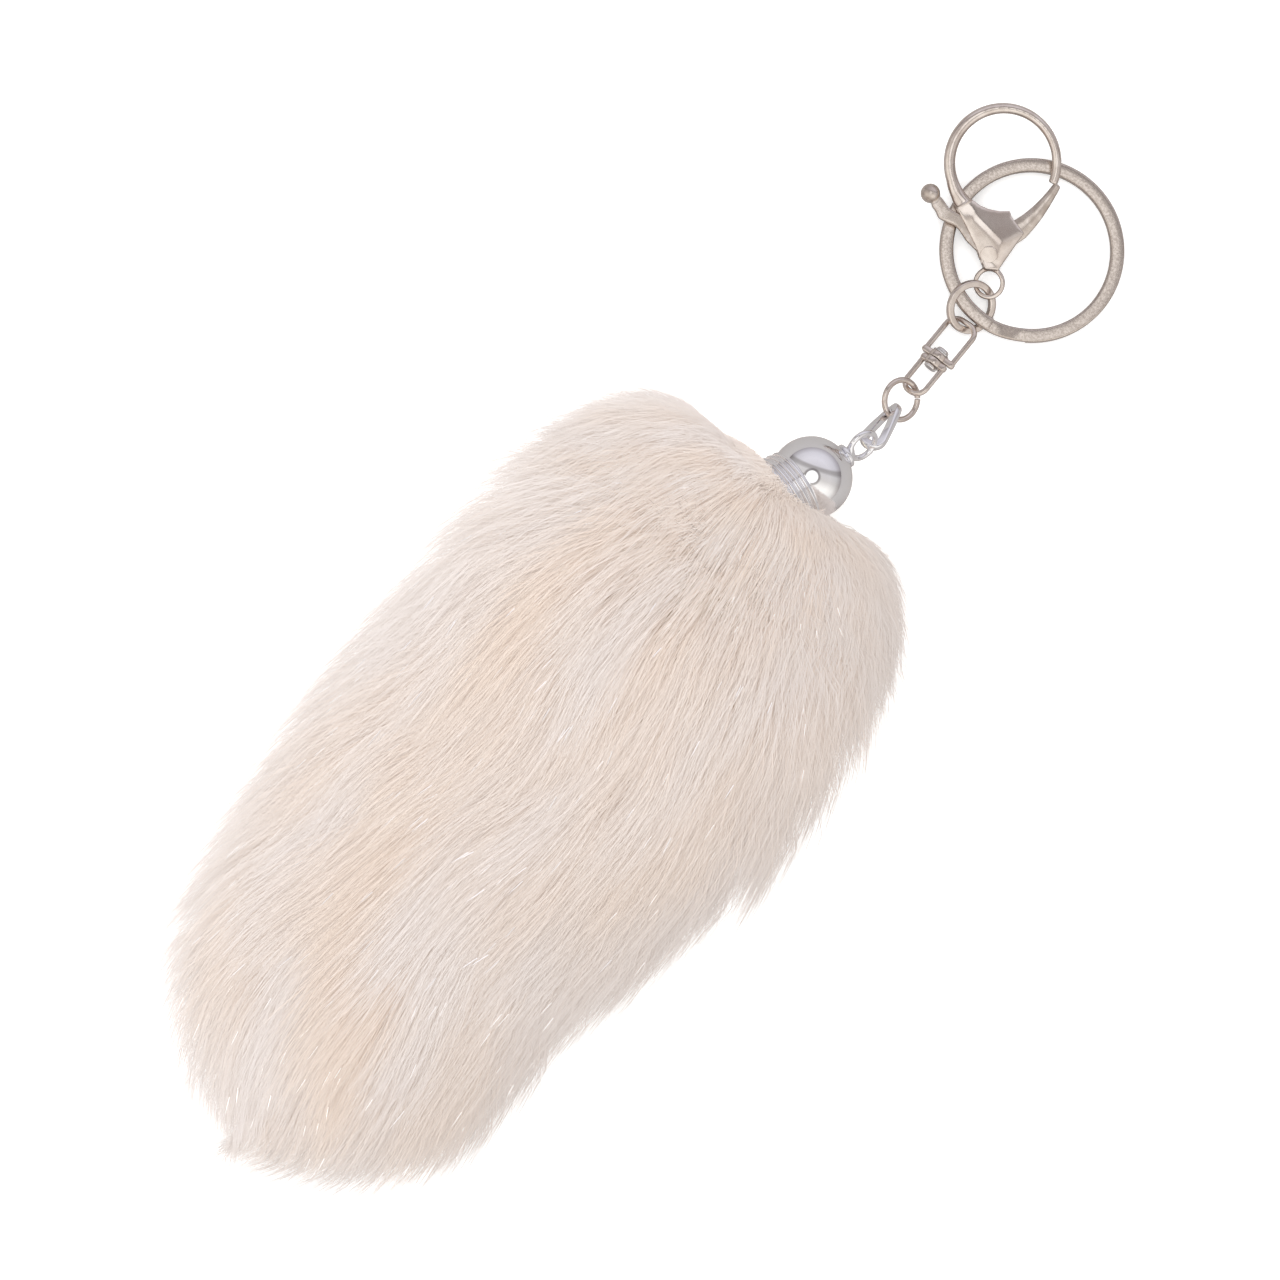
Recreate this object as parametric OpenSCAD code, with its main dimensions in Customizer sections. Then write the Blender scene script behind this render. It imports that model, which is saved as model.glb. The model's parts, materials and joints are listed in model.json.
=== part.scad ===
// Plush fur keychain: a stuffed fur tail in a metal end cap, then an eyelet, a curb link,
// a jump ring, a riveted swivel, a larger jump ring, a lobster clasp and a split key ring.
// It lies on a table at z = 0. +Y runs along the tail towards the clasp. Millimetres.

/* [Plush tail] */
// Length of the fur body along Y, from the hair tips to the shoulders
plush_len = 143.5; // [110:0.5:180]
// Widest part of the fur body, hair tips included
plush_w = 78; // [60:1:100]
// Height of the fur body above the table
plush_h = 50; // [38:1:64]
// Depth of the pile at the sides, from the knitted backing to the hair tips
pile_side = 15; // [8:0.5:18]
// Depth of the pile on top
pile_top = 11; // [6:0.5:14]
// Pile squashed between the backing and the table
pile_under = 4; // [2:0.5:6]
// Thickness of the knitted backing
skin_t = 1.2; // [0.6:0.1:2]
// Space between the stuffing and the backing, where the seam allowance lies
seam_room = 1.8; // [1.4:0.1:3]
// Radius of the gathered neck inside the cap
neck_r = 4.4; // [3:0.1:5]
// Radius of the sewing thread
thread_r = 0.3; // [0.15:0.05:0.4]
// Number of overcast stitches in the closing seam
stitches = 22; // [8:1:40]

/* [End cap] */
// Radius of the cap's dome
dome_r = 6.6; // [5:0.1:9]
// Sheet thickness of the cap
cap_wall = 0.5; // [0.3:0.05:0.8]
// Height of the dome's centre above the table
cap_h = 12.45; // [9:0.05:16]
// Length of the beaded skirt below the dome's centre
skirt_len = 7; // [5:0.5:10]
// Radius of the wire of the cap's eyelet
eyelet_wire_r = 0.5; // [0.35:0.05:0.65]
// Radius of the eyelet's ring, at the middle of its wire
eyelet_r = 2.45; // [2.2:0.05:3.2]
// Radius of the eyelet's foot disc
foot_r = 2; // [1.4:0.1:2.6]
// Thickness of the foot disc above the dome
foot_t = 0.6; // [0.4:0.05:1]
// Radius of the eyelet's shank through the dome
shank_r = 0.95; // [0.6:0.05:1.2]

/* [Links] */
// Radius of the curb link's wire
link_wire_r = 0.6; // [0.45:0.05:0.7]
// Half of the curb link's length, at the middle of its wire
link_half = 4.45; // [4:0.05:6]
// Half of the curb link's width, at the middle of its wire
link_half_w = 1.55; // [1.4:0.05:2]
// Twist of the curb link from its middle to each end, degrees
link_twist = 30; // [20:1:40]
// Radius of the lower jump ring's wire
lower_wire_r = 0.475; // [0.35:0.025:0.6]
// Radius of the lower jump ring, at the middle of its wire
lower_r = 3.22; // [2.9:0.02:4.5]
// Radius of the upper jump ring's wire, before it is flattened
upper_wire_r = 0.6; // [0.45:0.02:0.74]
// Radius of the upper jump ring, at the middle of its wire
upper_r = 3.87; // [3.6:0.01:5]
// Opening left at a jump ring's cut, degrees
ring_cut = 3; // [1:0.5:8]

/* [Swivel] */
// Radius of the wire of both swivel loops
loop_wire_r = 0.45; // [0.35:0.05:0.55]
// Half of the lower loop's width, at the middle of its wire
low_loop_w = 2.05; // [1.9:0.05:3]
// Height of the lower loop above the swivel's joint, at the middle of its wire
low_loop_h = 6.65; // [5.5:0.05:9]
// Half of the upper loop's width, at the middle of its wire
up_loop_w = 2.72; // [2.4:0.02:3.6]
// Height of the upper loop above the swivel's joint, at the middle of its wire
up_loop_h = 7.9; // [6.5:0.05:10]
// Thickness of each loop's base bar
bar_t = 1.1; // [0.8:0.05:1.5]
// Radius of the rivet's shank
rivet_r = 0.62; // [0.45:0.01:0.8]
// Radius of the rivet's heads
rivet_head_r = 1.1; // [1:0.05:1.4]
// Radius of the washer under the upper head
washer_r = 1.45; // [1.2:0.05:1.7]
// Radial running clearance of the rivet and of the clasp's pin
run_gap = 0.06; // [0.03:0.01:0.1]

/* [Clasp] */
// Radius of the clasp's hook, at the middle of its wire
hook_r = 8.75; // [7.5:0.05:11]
// Radius of the hook's wire
hook_wire_r = 0.95; // [0.7:0.05:1.2]
// Distance from the clasp's eye to the centre of its hook
hook_reach = 19.5; // [19:0.1:24]
// Radius of the clasp's eye, at the middle of its wire
clasp_eye_r = 2.3; // [2.1:0.05:3]
// Radius of the wire of the clasp's eye
clasp_eye_wire_r = 0.42; // [0.3:0.02:0.5]
// Thickness of the clasp's cast body
clasp_t = 2.7; // [2.4:0.1:4]
// Thickness of the lever
lever_t = 1.3; // [1:0.05:1.5]
// Clearance of the lever inside the body, on each side
lever_gap = 0.1; // [0.05:0.01:0.2]
// Radius of the knob on the lever
knob_r = 1.6; // [1.2:0.1:2]
// Radius of the lever's pivot pin
pin_r = 0.65; // [0.5:0.05:0.8]

/* [Key ring] */
// Outer diameter of the split ring
split_od = 30; // [26:0.5:38]
// Width of the split ring's flat wire
split_band = 2.2; // [1.6:0.1:2.6]
// Thickness of the flat wire
split_t = 0.84; // [0.6:0.02:0.95]
// Space between the two coils
split_gap = 0.1; // [0.06:0.02:0.2]

/* [How the chain lies] */
// Heading of the cap away from +Y, degrees to the right
cap_heading = 21; // [0:1:35]
// Downward slope of the cap, degrees
cap_drop = 14; // [5:1:25]
// Heading of the clasp away from +Y, degrees to the left
clasp_turn = 30.5; // [20:0.5:45]
// Play left where two links meet, beyond their two wires
link_play = 0.35; // [0.3:0.05:0.6]

/* [Hidden] */
$fn = 48;

// ---- Plush stations: [share of the length from the shoulders, sideways share, half width share,
// half length share, height share]. Four ellipsoids make the body: shoulders, belly, waist and tip.
stations = [[0.155, 0.0175, 0.85, 0.155, 0.86], [0.335, 0.0115, 1, 0.265, 1],
    [0.558, -0.0415, 0.935, 0.265, 0.98], [0.782, -0.055, 0.81, 0.218, 0.84]];
lean = -0.083;          // sideways place of the belly, as a share of the width
form_fn = 32;           // sides of the soft forms
nest_gap = 0.2;         // between the backing and the pile, and between the cap and the pile

// ---- Origin: the middle of the whole object's box, on the table
cap_x = -1.6;           // the dome's centre before the object is centred
left_x = (lean - 0.5075) * plush_w;
right_x = (lean + 0.5125) * plush_w;
centre_x = (left_x + right_x) / 2;

// A point d further on, turned heading degrees right of +Y and going down drop degrees
function onward(p, heading, drop, d) =
    p + d * [sin(heading) * cos(drop), cos(heading) * cos(drop), -sin(drop)];
// Distance between the centres of two linked pieces that reach a and b to their wire middles
function pitch(a, b, wire_a, wire_b, play) = a + b - (wire_a + wire_b + play);

dome_c = [cap_x, 0, cap_h];
foot_top = dome_r + foot_t;
eyelet_out = foot_top + eyelet_r + eyelet_wire_r - 0.03;
eyelet_c = onward(dome_c, cap_heading, cap_drop, eyelet_out);
link_c = onward(eyelet_c, 8.2, 30.7, pitch(eyelet_r, link_half, eyelet_wire_r, link_wire_r, link_play + 0.24));
lower_c = onward(link_c, 0.1, 25, pitch(link_half, lower_r, link_wire_r, lower_wire_r, link_play));
swivel_c = onward(lower_c, 4.4, 9, pitch(lower_r, low_loop_h, lower_wire_r, loop_wire_r, link_play - 0.2));
upper_c = onward(swivel_c, -3.15, 4.1, pitch(up_loop_h, upper_r, loop_wire_r, upper_wire_r, link_play - 0.02));
clasp_c = onward(upper_c, 0, -3, pitch(upper_r, clasp_eye_r, upper_wire_r, clasp_eye_wire_r, link_play));
// The upper jump ring hangs round the split ring's band
split_mid_r = (split_od - split_band) / 2;
split_h = 2 * split_t + split_gap;
split_heading = 10.2;
upper_roll = 31;
split_c = onward(upper_c, split_heading, 3.6, split_mid_r - 0.35);

hook_top_y = clasp_c[1] + hook_reach * cos(clasp_turn) + hook_r + hook_wire_r;
tip_y = -plush_len + 0.2;
centre_y = (hook_top_y + tip_y) / 2;

// Places a piece: its own +Y runs along the chain and its own Z is its flat side's normal
module lay(at, yaw, nose_up, roll) {
    translate([at[0] - centre_x, at[1] - centre_y, at[2]])
        rotate([0, 0, yaw]) rotate([nose_up, 0, 0]) rotate([0, roll, 0]) children();
}
module in_cap() lay(dome_c, -cap_heading, -cap_drop, 0) children();
module in_swivel(roll) lay(swivel_c, -2.6, -6.7, roll) children();
module in_clasp() lay(clasp_c, clasp_turn, 4.8, 4.6) children();
module on_table() translate([-centre_x, -centre_y, 0]) children();

// ---- Sweeps: a section carried along a path of points. normals gives each point's up side.
function unit(v) = v / norm(v);
function frame_at(path, i, last, closed) =
    unit(path[closed ? (i + 1) % last : min(i + 1, last - 1)] - path[closed ? (i + last - 1) % last : max(i - 1, 0)]);
function ring_of(p, t, up, section) =
    let (u = unit(cross(t, up)), v = cross(u, t)) [for (s = section) p + s[0] * u + s[1] * v];
module sweep(path, ups, section, closed = false) {
    n = len(path);
    m = len(section);
    rings = [for (i = [0:n - 1]) each ring_of(path[i], frame_at(path, i, n, closed), ups[i], section)];
    sides = [for (i = [0:(closed ? n - 1 : n - 2)], j = [0:m - 1])
        [i * m + j, i * m + (j + 1) % m, ((i + 1) % n) * m + (j + 1) % m, ((i + 1) % n) * m + j]];
    ends = closed ? [] : [[for (j = [m - 1:-1:0]) j], [for (j = [0:m - 1]) (n - 1) * m + j]];
    polyhedron(rings, concat(sides, ends), convexity = 8);
}
function round_section(r, sides) = [for (k = [0:sides - 1]) r * [cos(360 * k / sides), sin(360 * k / sides)]];

// ---- Soft forms
module station_form(s, inset_x, inset_y, low, high) {
    top = high - (1 - s[4]) * plush_h;
    mid = [(lean + s[1]) * plush_w, -s[0] * plush_len, (low + top) / 2];
    translate(mid)
        scale([s[2] * plush_w / 2 - inset_x, s[3] * plush_len - inset_y, (top - low) / 2])
            sphere(r = 1, $fn = form_fn);
}
module soft_form(inset_x, inset_y, low, high) {
    hull() for (s = stations) station_form(s, inset_x, inset_y, low, high);
}
// The sleeve of backing that gathers from the shoulders into the cap
neck_start = 0.16 * plush_len;
module neck_form(grow) {
    hull() {
        in_cap() translate([0, -neck_start, 0]) sphere(r = 10 + grow, $fn = form_fn);
        in_cap() translate([0, -skirt_len - 1.5, 0]) rotate([90, 0, 0])
            cylinder(r = neck_r + grow, h = 0.5, center = true, $fn = form_fn);
    }
}
module neck_tube(r) in_cap() translate([0, -1, 0]) rotate([90, 0, 0]) cylinder(r = r, h = skirt_len + 2);
skin_low = pile_under;
skin_high = plush_h - pile_top;
module skin_form(grow) {
    on_table() soft_form(pile_side - grow, pile_side - grow, skin_low - grow, skin_high + grow);
    neck_form(grow);
}

module fur_pile() {
    under = plush_h * 0.08;     // how far the round form goes below the table before it is cut flat
    color([0.93, 0.88, 0.82]) difference() {
        on_table() soft_form(0, 0, -under, plush_h);
        translate([-200, -300, -40]) cube([400, 600, 40]);
        skin_form(nest_gap);
        in_cap() translate([0, 12, 0]) rotate([90, 0, 0]) cylinder(r = dome_r + 0.9, h = 12 + skirt_len + 1.4);
    }
}
module plush_skin() {
    color([0.9, 0.82, 0.74]) {
        difference() {
            skin_form(0);
            skin_form(-skin_t);
            in_cap() translate([0, -skirt_len - 1.2, 0]) cube([40, 2 * 1.2, 40], center = true);
        }
        difference() {
            in_cap() translate([0, -1, 0]) rotate([90, 0, 0]) cylinder(r = neck_r, h = skirt_len + 1.45);
            in_cap() rotate([90, 0, 0]) cylinder(r = neck_r - skin_t, h = skirt_len + 5);
        }
    }
}
module stuffing() {
    inset = pile_side + skin_t + seam_room;
    color("white")
        on_table() soft_form(inset, inset, skin_low + skin_t + seam_room, skin_high - skin_t - 0.3);
}
module back_seam_thread() {
    y0 = -0.36 * plush_len;
    y1 = -0.7 * plush_len;
    swing = 1.2;
    n = stitches * 4;
    z = skin_low + skin_t + seam_room / 2;
    x0 = (lean - 0.015) * plush_w;
    path = [for (i = [0:n]) [x0 + swing * sin(90 * i), y0 + (y1 - y0) * i / n, z]];
    color([0.85, 0.8, 0.72]) on_table()
        sweep(path, [for (p = path) [0, 0, 1]], round_section(thread_r, 8));
}
module neck_gather_thread() {
    color([0.85, 0.8, 0.72]) in_cap() for (turn = [0:2])
        translate([0, -3.4 - turn * (2 * thread_r + 0.1), 0]) rotate([90, 0, 0])
            rotate_extrude() translate([neck_r + thread_r + 0.02, 0]) circle(r = thread_r, $fn = 16);
}

// ---- End cap. Its outline is turned about the cap's axis.
bead_r = 0.55;
skirt_r = dome_r - 0.75;
module cap_outline() {
    intersection() {
        union() {
            circle(r = dome_r, $fn = 96);
            translate([0, -skirt_len]) square([skirt_r, skirt_len]);
            translate([skirt_r - 0.05, -0.52 * skirt_len]) circle(r = bead_r, $fn = 24);
            translate([skirt_r + 0.15, -0.71 * skirt_len]) circle(r = bead_r, $fn = 24);
            translate([skirt_r + 0.4, -skirt_len + bead_r]) circle(r = bead_r, $fn = 24);
        }
        translate([shank_r + run_gap, -skirt_len]) square([2 * dome_r, skirt_len + 2 * dome_r]);
        union() {
            translate([0, -0.45 * skirt_len]) square([2 * dome_r, 3 * dome_r]);
            translate([0, -skirt_len]) square([skirt_r + 0.4 + bead_r, skirt_len]);
        }
    }
}
module cap_shell() {
    color([0.86, 0.87, 0.9]) in_cap() rotate([-90, 0, 0]) rotate_extrude($fn = 96) difference() {
        intersection() {
            cap_outline();
            union() {
                square([2 * dome_r, 2 * dome_r]);
                translate([0, -skirt_len]) square([skirt_r + 0.4 + bead_r, skirt_len]);
            }
        }
        circle(r = dome_r - cap_wall, $fn = 96);
        translate([0, -skirt_len - 1]) square([skirt_r - cap_wall, skirt_len + 1]);
    }
}
module cap_eyelet() {
    color([0.86, 0.87, 0.9]) in_cap() {
        difference() {
            translate([0, foot_top, 0]) rotate([90, 0, 0]) cylinder(r = foot_r, h = foot_t + 0.5);
            sphere(r = dome_r + 0.02, $fn = 96);
        }
        translate([0, foot_top - 0.1, 0]) rotate([90, 0, 0]) cylinder(r = shank_r, h = foot_top - 3.4);
        translate([0, eyelet_out, 0]) rotate([0, 52, 0])
            rotate_extrude() translate([eyelet_r, 0]) circle(r = eyelet_wire_r, $fn = 24);
    }
}
module glue_plug() {
    color([0.9, 0.88, 0.8]) in_cap() rotate([-90, 0, 0]) rotate_extrude() difference() {
        intersection() {
            circle(r = dome_r - cap_wall - 0.05, $fn = 96);
            square([dome_r, dome_r]);
        }
        square([shank_r + 0.03, dome_r + 1]);
    }
}

// ---- Links
module curb_link() {
    arc_n = 12;
    side_n = 5;
    straight = link_half - link_half_w;
    flat = concat(
        [for (i = [0:arc_n - 1]) [link_half_w * cos(180 * i / arc_n), straight + link_half_w * sin(180 * i / arc_n)]],
        [for (i = [0:side_n - 1]) [-link_half_w, straight - 2 * straight * i / side_n]],
        [for (i = [0:arc_n - 1]) [-link_half_w * cos(180 * i / arc_n), -straight - link_half_w * sin(180 * i / arc_n)]],
        [for (i = [0:side_n - 1]) [link_half_w, -straight + 2 * straight * i / side_n]]);
    path = [for (p = flat) let (a = link_twist * p[1] / link_half) [p[0] * cos(a), p[1], p[0] * sin(a)]];
    ups = [for (p = flat) let (a = link_twist * p[1] / link_half) [-sin(a), 0, cos(a)]];
    color([0.88, 0.88, 0.9]) lay(link_c, 1.9, -34.8, -47)
        sweep(path, ups, round_section(link_wire_r, 12), closed = true);
}
module jump_ring(r, wire_r, cut_at, flat) {
    rotate([0, 0, cut_at + ring_cut / 2]) rotate_extrude(angle = 360 - ring_cut) translate([r, 0])
        intersection() {
            circle(r = wire_r, $fn = 24);
            square([3 * wire_r, 2 * wire_r * flat], center = true);
        }
}
module lower_jump_ring() {
    color([0.8, 0.76, 0.72]) lay(lower_c, -2.8, -14, 30) jump_ring(lower_r, lower_wire_r, 46, 1.2);
}
module upper_jump_ring() {
    color([0.8, 0.76, 0.72]) lay(upper_c, 0, -1.7, upper_roll) jump_ring(upper_r, upper_wire_r, -38, 0.86);
}

// ---- Swivel. Its own frame: Y along the rivet, the joint between the two bars at zero.
joint_gap = 0.1;
upper_loop_roll = -25;
lower_loop_roll = -30;
module loop(w, h, corner, bar_half) {
    end_half = w - corner;
    foot = joint_gap / 2 + bar_t / 2;
    leg = h - corner - foot;
    for (s = [-1, 1]) {
        translate([s * w, foot, 0]) rotate([-90, 0, 0]) cylinder(r = loop_wire_r, h = leg, $fn = 32);
        translate([s * end_half, h - corner, 0]) mirror([s < 0 ? 1 : 0, 0, 0])
            rotate_extrude(angle = 90) translate([corner, 0]) circle(r = loop_wire_r, $fn = 32);
    }
    translate([-end_half, h, 0]) rotate([0, 90, 0]) cylinder(r = loop_wire_r, h = 2 * end_half, $fn = 32);
    difference() {
        union() {
            translate([-bar_half, joint_gap / 2, -0.6]) cube([2 * bar_half, bar_t, 1.2]);
            for (s = [-1, 1]) translate([s * bar_half, joint_gap / 2, 0]) rotate([-90, 0, 0])
                cylinder(r = 0.6, h = bar_t);
            translate([0, joint_gap / 2, 0]) rotate([-90, 0, 0]) cylinder(r = washer_r + 0.1, h = bar_t);
        }
        translate([0, -1, 0]) rotate([-90, 0, 0]) cylinder(r = rivet_r + run_gap, h = bar_t + 3);
    }
}
module swivel_lower_loop() {
    color([0.8, 0.76, 0.72]) in_swivel(lower_loop_roll) rotate([0, 0, 180]) loop(low_loop_w, low_loop_h, 1.75, low_loop_w);
}
module swivel_upper_loop() {
    color([0.8, 0.76, 0.72]) in_swivel(upper_loop_roll) loop(up_loop_w, up_loop_h, 2, up_loop_w);
}
bar_far = joint_gap / 2 + bar_t;
washer_t = 0.3;
module swivel_rivet() {
    head_t = 0.6;
    color([0.82, 0.8, 0.77]) in_swivel(upper_loop_roll) rotate([-90, 0, 0]) {
        translate([0, 0, -bar_far - 0.05 - head_t]) cylinder(r = rivet_head_r, h = head_t);
        translate([0, 0, -bar_far - 0.1]) cylinder(r = rivet_r, h = 2 * bar_far + washer_t + 0.25);
        translate([0, 0, bar_far + 0.05 + washer_t]) cylinder(r = rivet_head_r, h = 0.7 * head_t);
        translate([0, 0, bar_far + 0.05 + washer_t]) cylinder(r = 0.75 * rivet_head_r, h = head_t + 0.1);
    }
}
module swivel_washer() {
    color([0.78, 0.76, 0.74]) in_swivel(upper_loop_roll) rotate([-90, 0, 0]) translate([0, 0, bar_far + 0.03])
        difference() {
            cylinder(r = washer_r, h = washer_t);
            translate([0, 0, -1]) cylinder(r = rivet_r + 0.02, h = 3);
        }
}

// ---- Clasp. Its own frame: the eye's centre at zero, Y towards the hook's centre.
pivot = [-0.5, 4.6];
gate_dir = [0.619, 0.786];
gate_side = [gate_dir[1], -gate_dir[0]];
hook_end = -13;         // angle where the hook stops, seen from its centre
arm_end = 236;          // angle where the hook joins the body's left arm
lever_slot = lever_t + 2 * lever_gap;
hook_at = [0, hook_reach];
function gate_pt(s, half) = pivot + s * gate_dir + half * gate_side;
// A bar of constant half width along a bent line, as one polygon
function bend_side(line, half, k) = let (
    a = line[max(k - 1, 0)], b = line[min(k + 1, len(line) - 1)], t = (b - a) / norm(b - a))
    line[k] + half * [-t[1], t[0]];
function bar_points(line, half) = concat(
    [for (k = [0:len(line) - 1]) bend_side(line, half, k)],
    [for (k = [len(line) - 1:-1:0]) bend_side(line, -half, k)]);
thumb_line = [pivot, [-3.42, 6.89], [-5.56, 9.35], [-8.3, 10.5], [-11.2, 13.3]];

module clasp_outline() {
    arm = [for (a = [arm_end:12:arm_end + 48]) hook_at + (hook_r - hook_wire_r) * [cos(a), sin(a)]];
    polygon(concat([[-1.1, clasp_eye_r - 0.1], [1.1, clasp_eye_r - 0.1], [2.3, 4.4], [4.6, 8.6], [2.25, 11.05]],
        [for (k = [len(arm) - 1:-1:0]) arm[k]],
        [hook_at + (hook_r + hook_wire_r) * [cos(arm_end), sin(arm_end)], [-3.5, 8.8], [-1.9, 5.6]]));
}
module lever_space() {
    difference() {
        translate([-8, pivot[1] - 1.65]) square([16, 10]);
        polygon([[-2.2, 8.2], [-1.6, 10], [-1.75, 14], [-8, 14], [-8, 11.4], [-5.4, 11.1], [-4.4, 9.9]]);
    }
}
module clasp_body() {
    color([0.82, 0.78, 0.74]) in_clasp() {
        rotate([0, -25.5, 0]) rotate_extrude() translate([clasp_eye_r, 0])
            circle(r = clasp_eye_wire_r, $fn = 24);
        translate(hook_at) rotate([0, 0, hook_end]) rotate_extrude(angle = arm_end - hook_end + 2)
            translate([hook_r, 0]) circle(r = hook_wire_r, $fn = 32);
        difference() {
            translate([0, 0, -clasp_t / 2]) linear_extrude(clasp_t) clasp_outline();
            translate([0, 0, -lever_slot / 2]) linear_extrude(lever_slot) lever_space();
            translate([pivot[0], pivot[1], -clasp_t]) cylinder(r = pin_r + 0.01, h = 2 * clasp_t);
        }
    }
}
module clasp_trigger() {
    gate_len = 15.3;
    color([0.78, 0.74, 0.7]) in_clasp() {
        difference() {
            translate([0, 0, -lever_t / 2]) linear_extrude(lever_t) union() {
                translate(pivot) circle(r = 1.5);
                polygon([gate_pt(0, -1.2), gate_pt(6, -1.6), gate_pt(gate_len, -0.8),
                    gate_pt(gate_len, 0.8), gate_pt(6, 1.6), gate_pt(0, 1.2)]);
                polygon(bar_points(thumb_line, 0.8));
            }
            translate([pivot[0], pivot[1], -clasp_t]) cylinder(r = pin_r + run_gap, h = 2 * clasp_t);
        }
        translate(thumb_line[4]) sphere(r = knob_r);
    }
}
module clasp_pivot_pin() {
    head_t = 0.2;
    color([0.75, 0.72, 0.68]) in_clasp() translate([pivot[0], pivot[1], 0]) {
        cylinder(r = pin_r, h = clasp_t + 0.2, center = true);
        for (s = [-1, 1]) translate([0, 0, s * (clasp_t / 2 + 0.02 + head_t / 2)])
            cylinder(r = pin_r + 0.3, h = head_t, center = true);
    }
}
module clasp_spring() {
    turns = 4;
    coil_r = 0.45;
    wire = 0.11;
    from = [-1.6, 9.1];
    to = [0.62, 8.78];
    n = turns * 12;
    along = (to - from) / norm(to - from);
    side = [-along[1], along[0]];
    path = [for (i = [0:n]) let (p = from + (to - from) * i / n, q = coil_r * cos(30 * i) * side)
        [p[0] + q[0], p[1] + q[1], coil_r * sin(30 * i)]];
    color([0.6, 0.6, 0.62]) in_clasp() sweep(path, [for (p = path) [along[0], along[1], 0]], round_section(wire, 6));
}

// ---- Split ring: flat wire wound twice, stepping up one coil over a short jog
module split_ring() {
    jog = 22;
    steps = 116;
    start = -58;
    half = (split_t + split_gap) / 2;
    sweep_end = 720 - jog - 2;
    bevel = 0.2;
    b = split_band / 2;
    t = split_t / 2;
    function rise(a) = let (k = min(max((a - 360 + jog) / jog, 0), 1)) half * (2 * k * k * (3 - 2 * k) - 1);
    path = [for (i = [0:steps]) let (a = sweep_end * i / steps)
        [split_mid_r * cos(a + start), split_mid_r * sin(a + start), rise(a)]];
    section = [[b, -t + bevel], [b, t - bevel], [b - bevel, t], [-b + bevel, t], [-b, t - bevel], [-b, -t + bevel],
        [-b + bevel, -t], [b - bevel, -t]];
    color([0.8, 0.77, 0.73]) lay(split_c, 0, -2.8, 0)
        sweep(path, [for (p = path) [0, 0, 1]], section);
}

fur_pile();
plush_skin();
stuffing();
back_seam_thread();
neck_gather_thread();
cap_shell();
cap_eyelet();
glue_plug();
curb_link();
lower_jump_ring();
swivel_lower_loop();
swivel_upper_loop();
swivel_rivet();
swivel_washer();
upper_jump_ring();
clasp_body();
clasp_trigger();
clasp_pivot_pin();
clasp_spring();
split_ring();
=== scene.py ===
"""Plush fur keychain: a stuffed faux-fur tail in a chrome end cap, then an eyelet, a curb link, a jump
ring, a riveted swivel, a larger jump ring, a lobster clasp and a split key ring. Shapes are worked out in
millimetres and go into the meshes in metres. Each chain piece is shaped in its own frame: Y along the
chain, Z out of its flat side."""
import json
import math
import bpy
import numpy as np
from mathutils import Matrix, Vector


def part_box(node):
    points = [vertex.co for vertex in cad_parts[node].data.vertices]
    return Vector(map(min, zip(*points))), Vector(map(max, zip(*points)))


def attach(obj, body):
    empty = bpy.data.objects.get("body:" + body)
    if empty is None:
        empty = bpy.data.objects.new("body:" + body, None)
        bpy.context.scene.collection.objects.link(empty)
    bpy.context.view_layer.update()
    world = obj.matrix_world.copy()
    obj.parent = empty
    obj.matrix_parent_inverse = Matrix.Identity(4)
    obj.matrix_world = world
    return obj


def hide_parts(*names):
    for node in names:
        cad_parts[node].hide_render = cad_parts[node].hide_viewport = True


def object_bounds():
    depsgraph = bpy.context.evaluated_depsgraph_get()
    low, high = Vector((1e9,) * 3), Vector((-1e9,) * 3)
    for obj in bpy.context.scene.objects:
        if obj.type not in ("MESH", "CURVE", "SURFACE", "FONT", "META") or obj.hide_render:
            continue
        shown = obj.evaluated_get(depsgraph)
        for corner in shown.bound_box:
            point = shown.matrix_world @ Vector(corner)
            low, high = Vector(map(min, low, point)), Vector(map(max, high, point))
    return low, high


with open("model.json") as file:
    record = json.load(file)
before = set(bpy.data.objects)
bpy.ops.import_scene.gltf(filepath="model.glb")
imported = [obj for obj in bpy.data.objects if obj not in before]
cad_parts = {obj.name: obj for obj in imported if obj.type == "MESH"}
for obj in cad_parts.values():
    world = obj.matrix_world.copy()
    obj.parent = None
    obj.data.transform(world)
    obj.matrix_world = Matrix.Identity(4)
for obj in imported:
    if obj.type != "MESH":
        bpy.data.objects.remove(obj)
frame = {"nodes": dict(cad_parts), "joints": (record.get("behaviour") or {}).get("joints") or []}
cad_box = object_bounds()

MM = 0.001
TAU = 2 * math.pi
X, Y, Z = np.eye(3)


# ---- Camera, floor and light

VIEW_TURN = math.radians(36.87)     # the picture's right side lies along (4, 3) in the table's plane
VIEW_CENTRE = (-1.6, -0.2)          # mm
VIEW_WIDTH = 208.1                  # mm of table across the picture
LENS = 120                          # mm
SENSOR = 36                         # mm
TABLE_HALF = 3.0                    # m, from the table's middle to its edges
TABLE_GAP = 0.00002                 # m, between the table and the lowest point on it


def make_camera():
    """Straight down on to the table from far enough away for VIEW_WIDTH to fill the picture."""
    data = bpy.data.cameras.new("camera")
    data.lens = LENS
    data.sensor_width = SENSOR
    data.clip_end = 20
    camera = bpy.data.objects.new("camera", data)
    bpy.context.scene.collection.objects.link(camera)
    camera.location = (VIEW_CENTRE[0] * MM, VIEW_CENTRE[1] * MM, VIEW_WIDTH * MM * LENS / SENSOR)
    camera.rotation_euler = (0, 0, VIEW_TURN)
    bpy.context.scene.camera = camera


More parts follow.
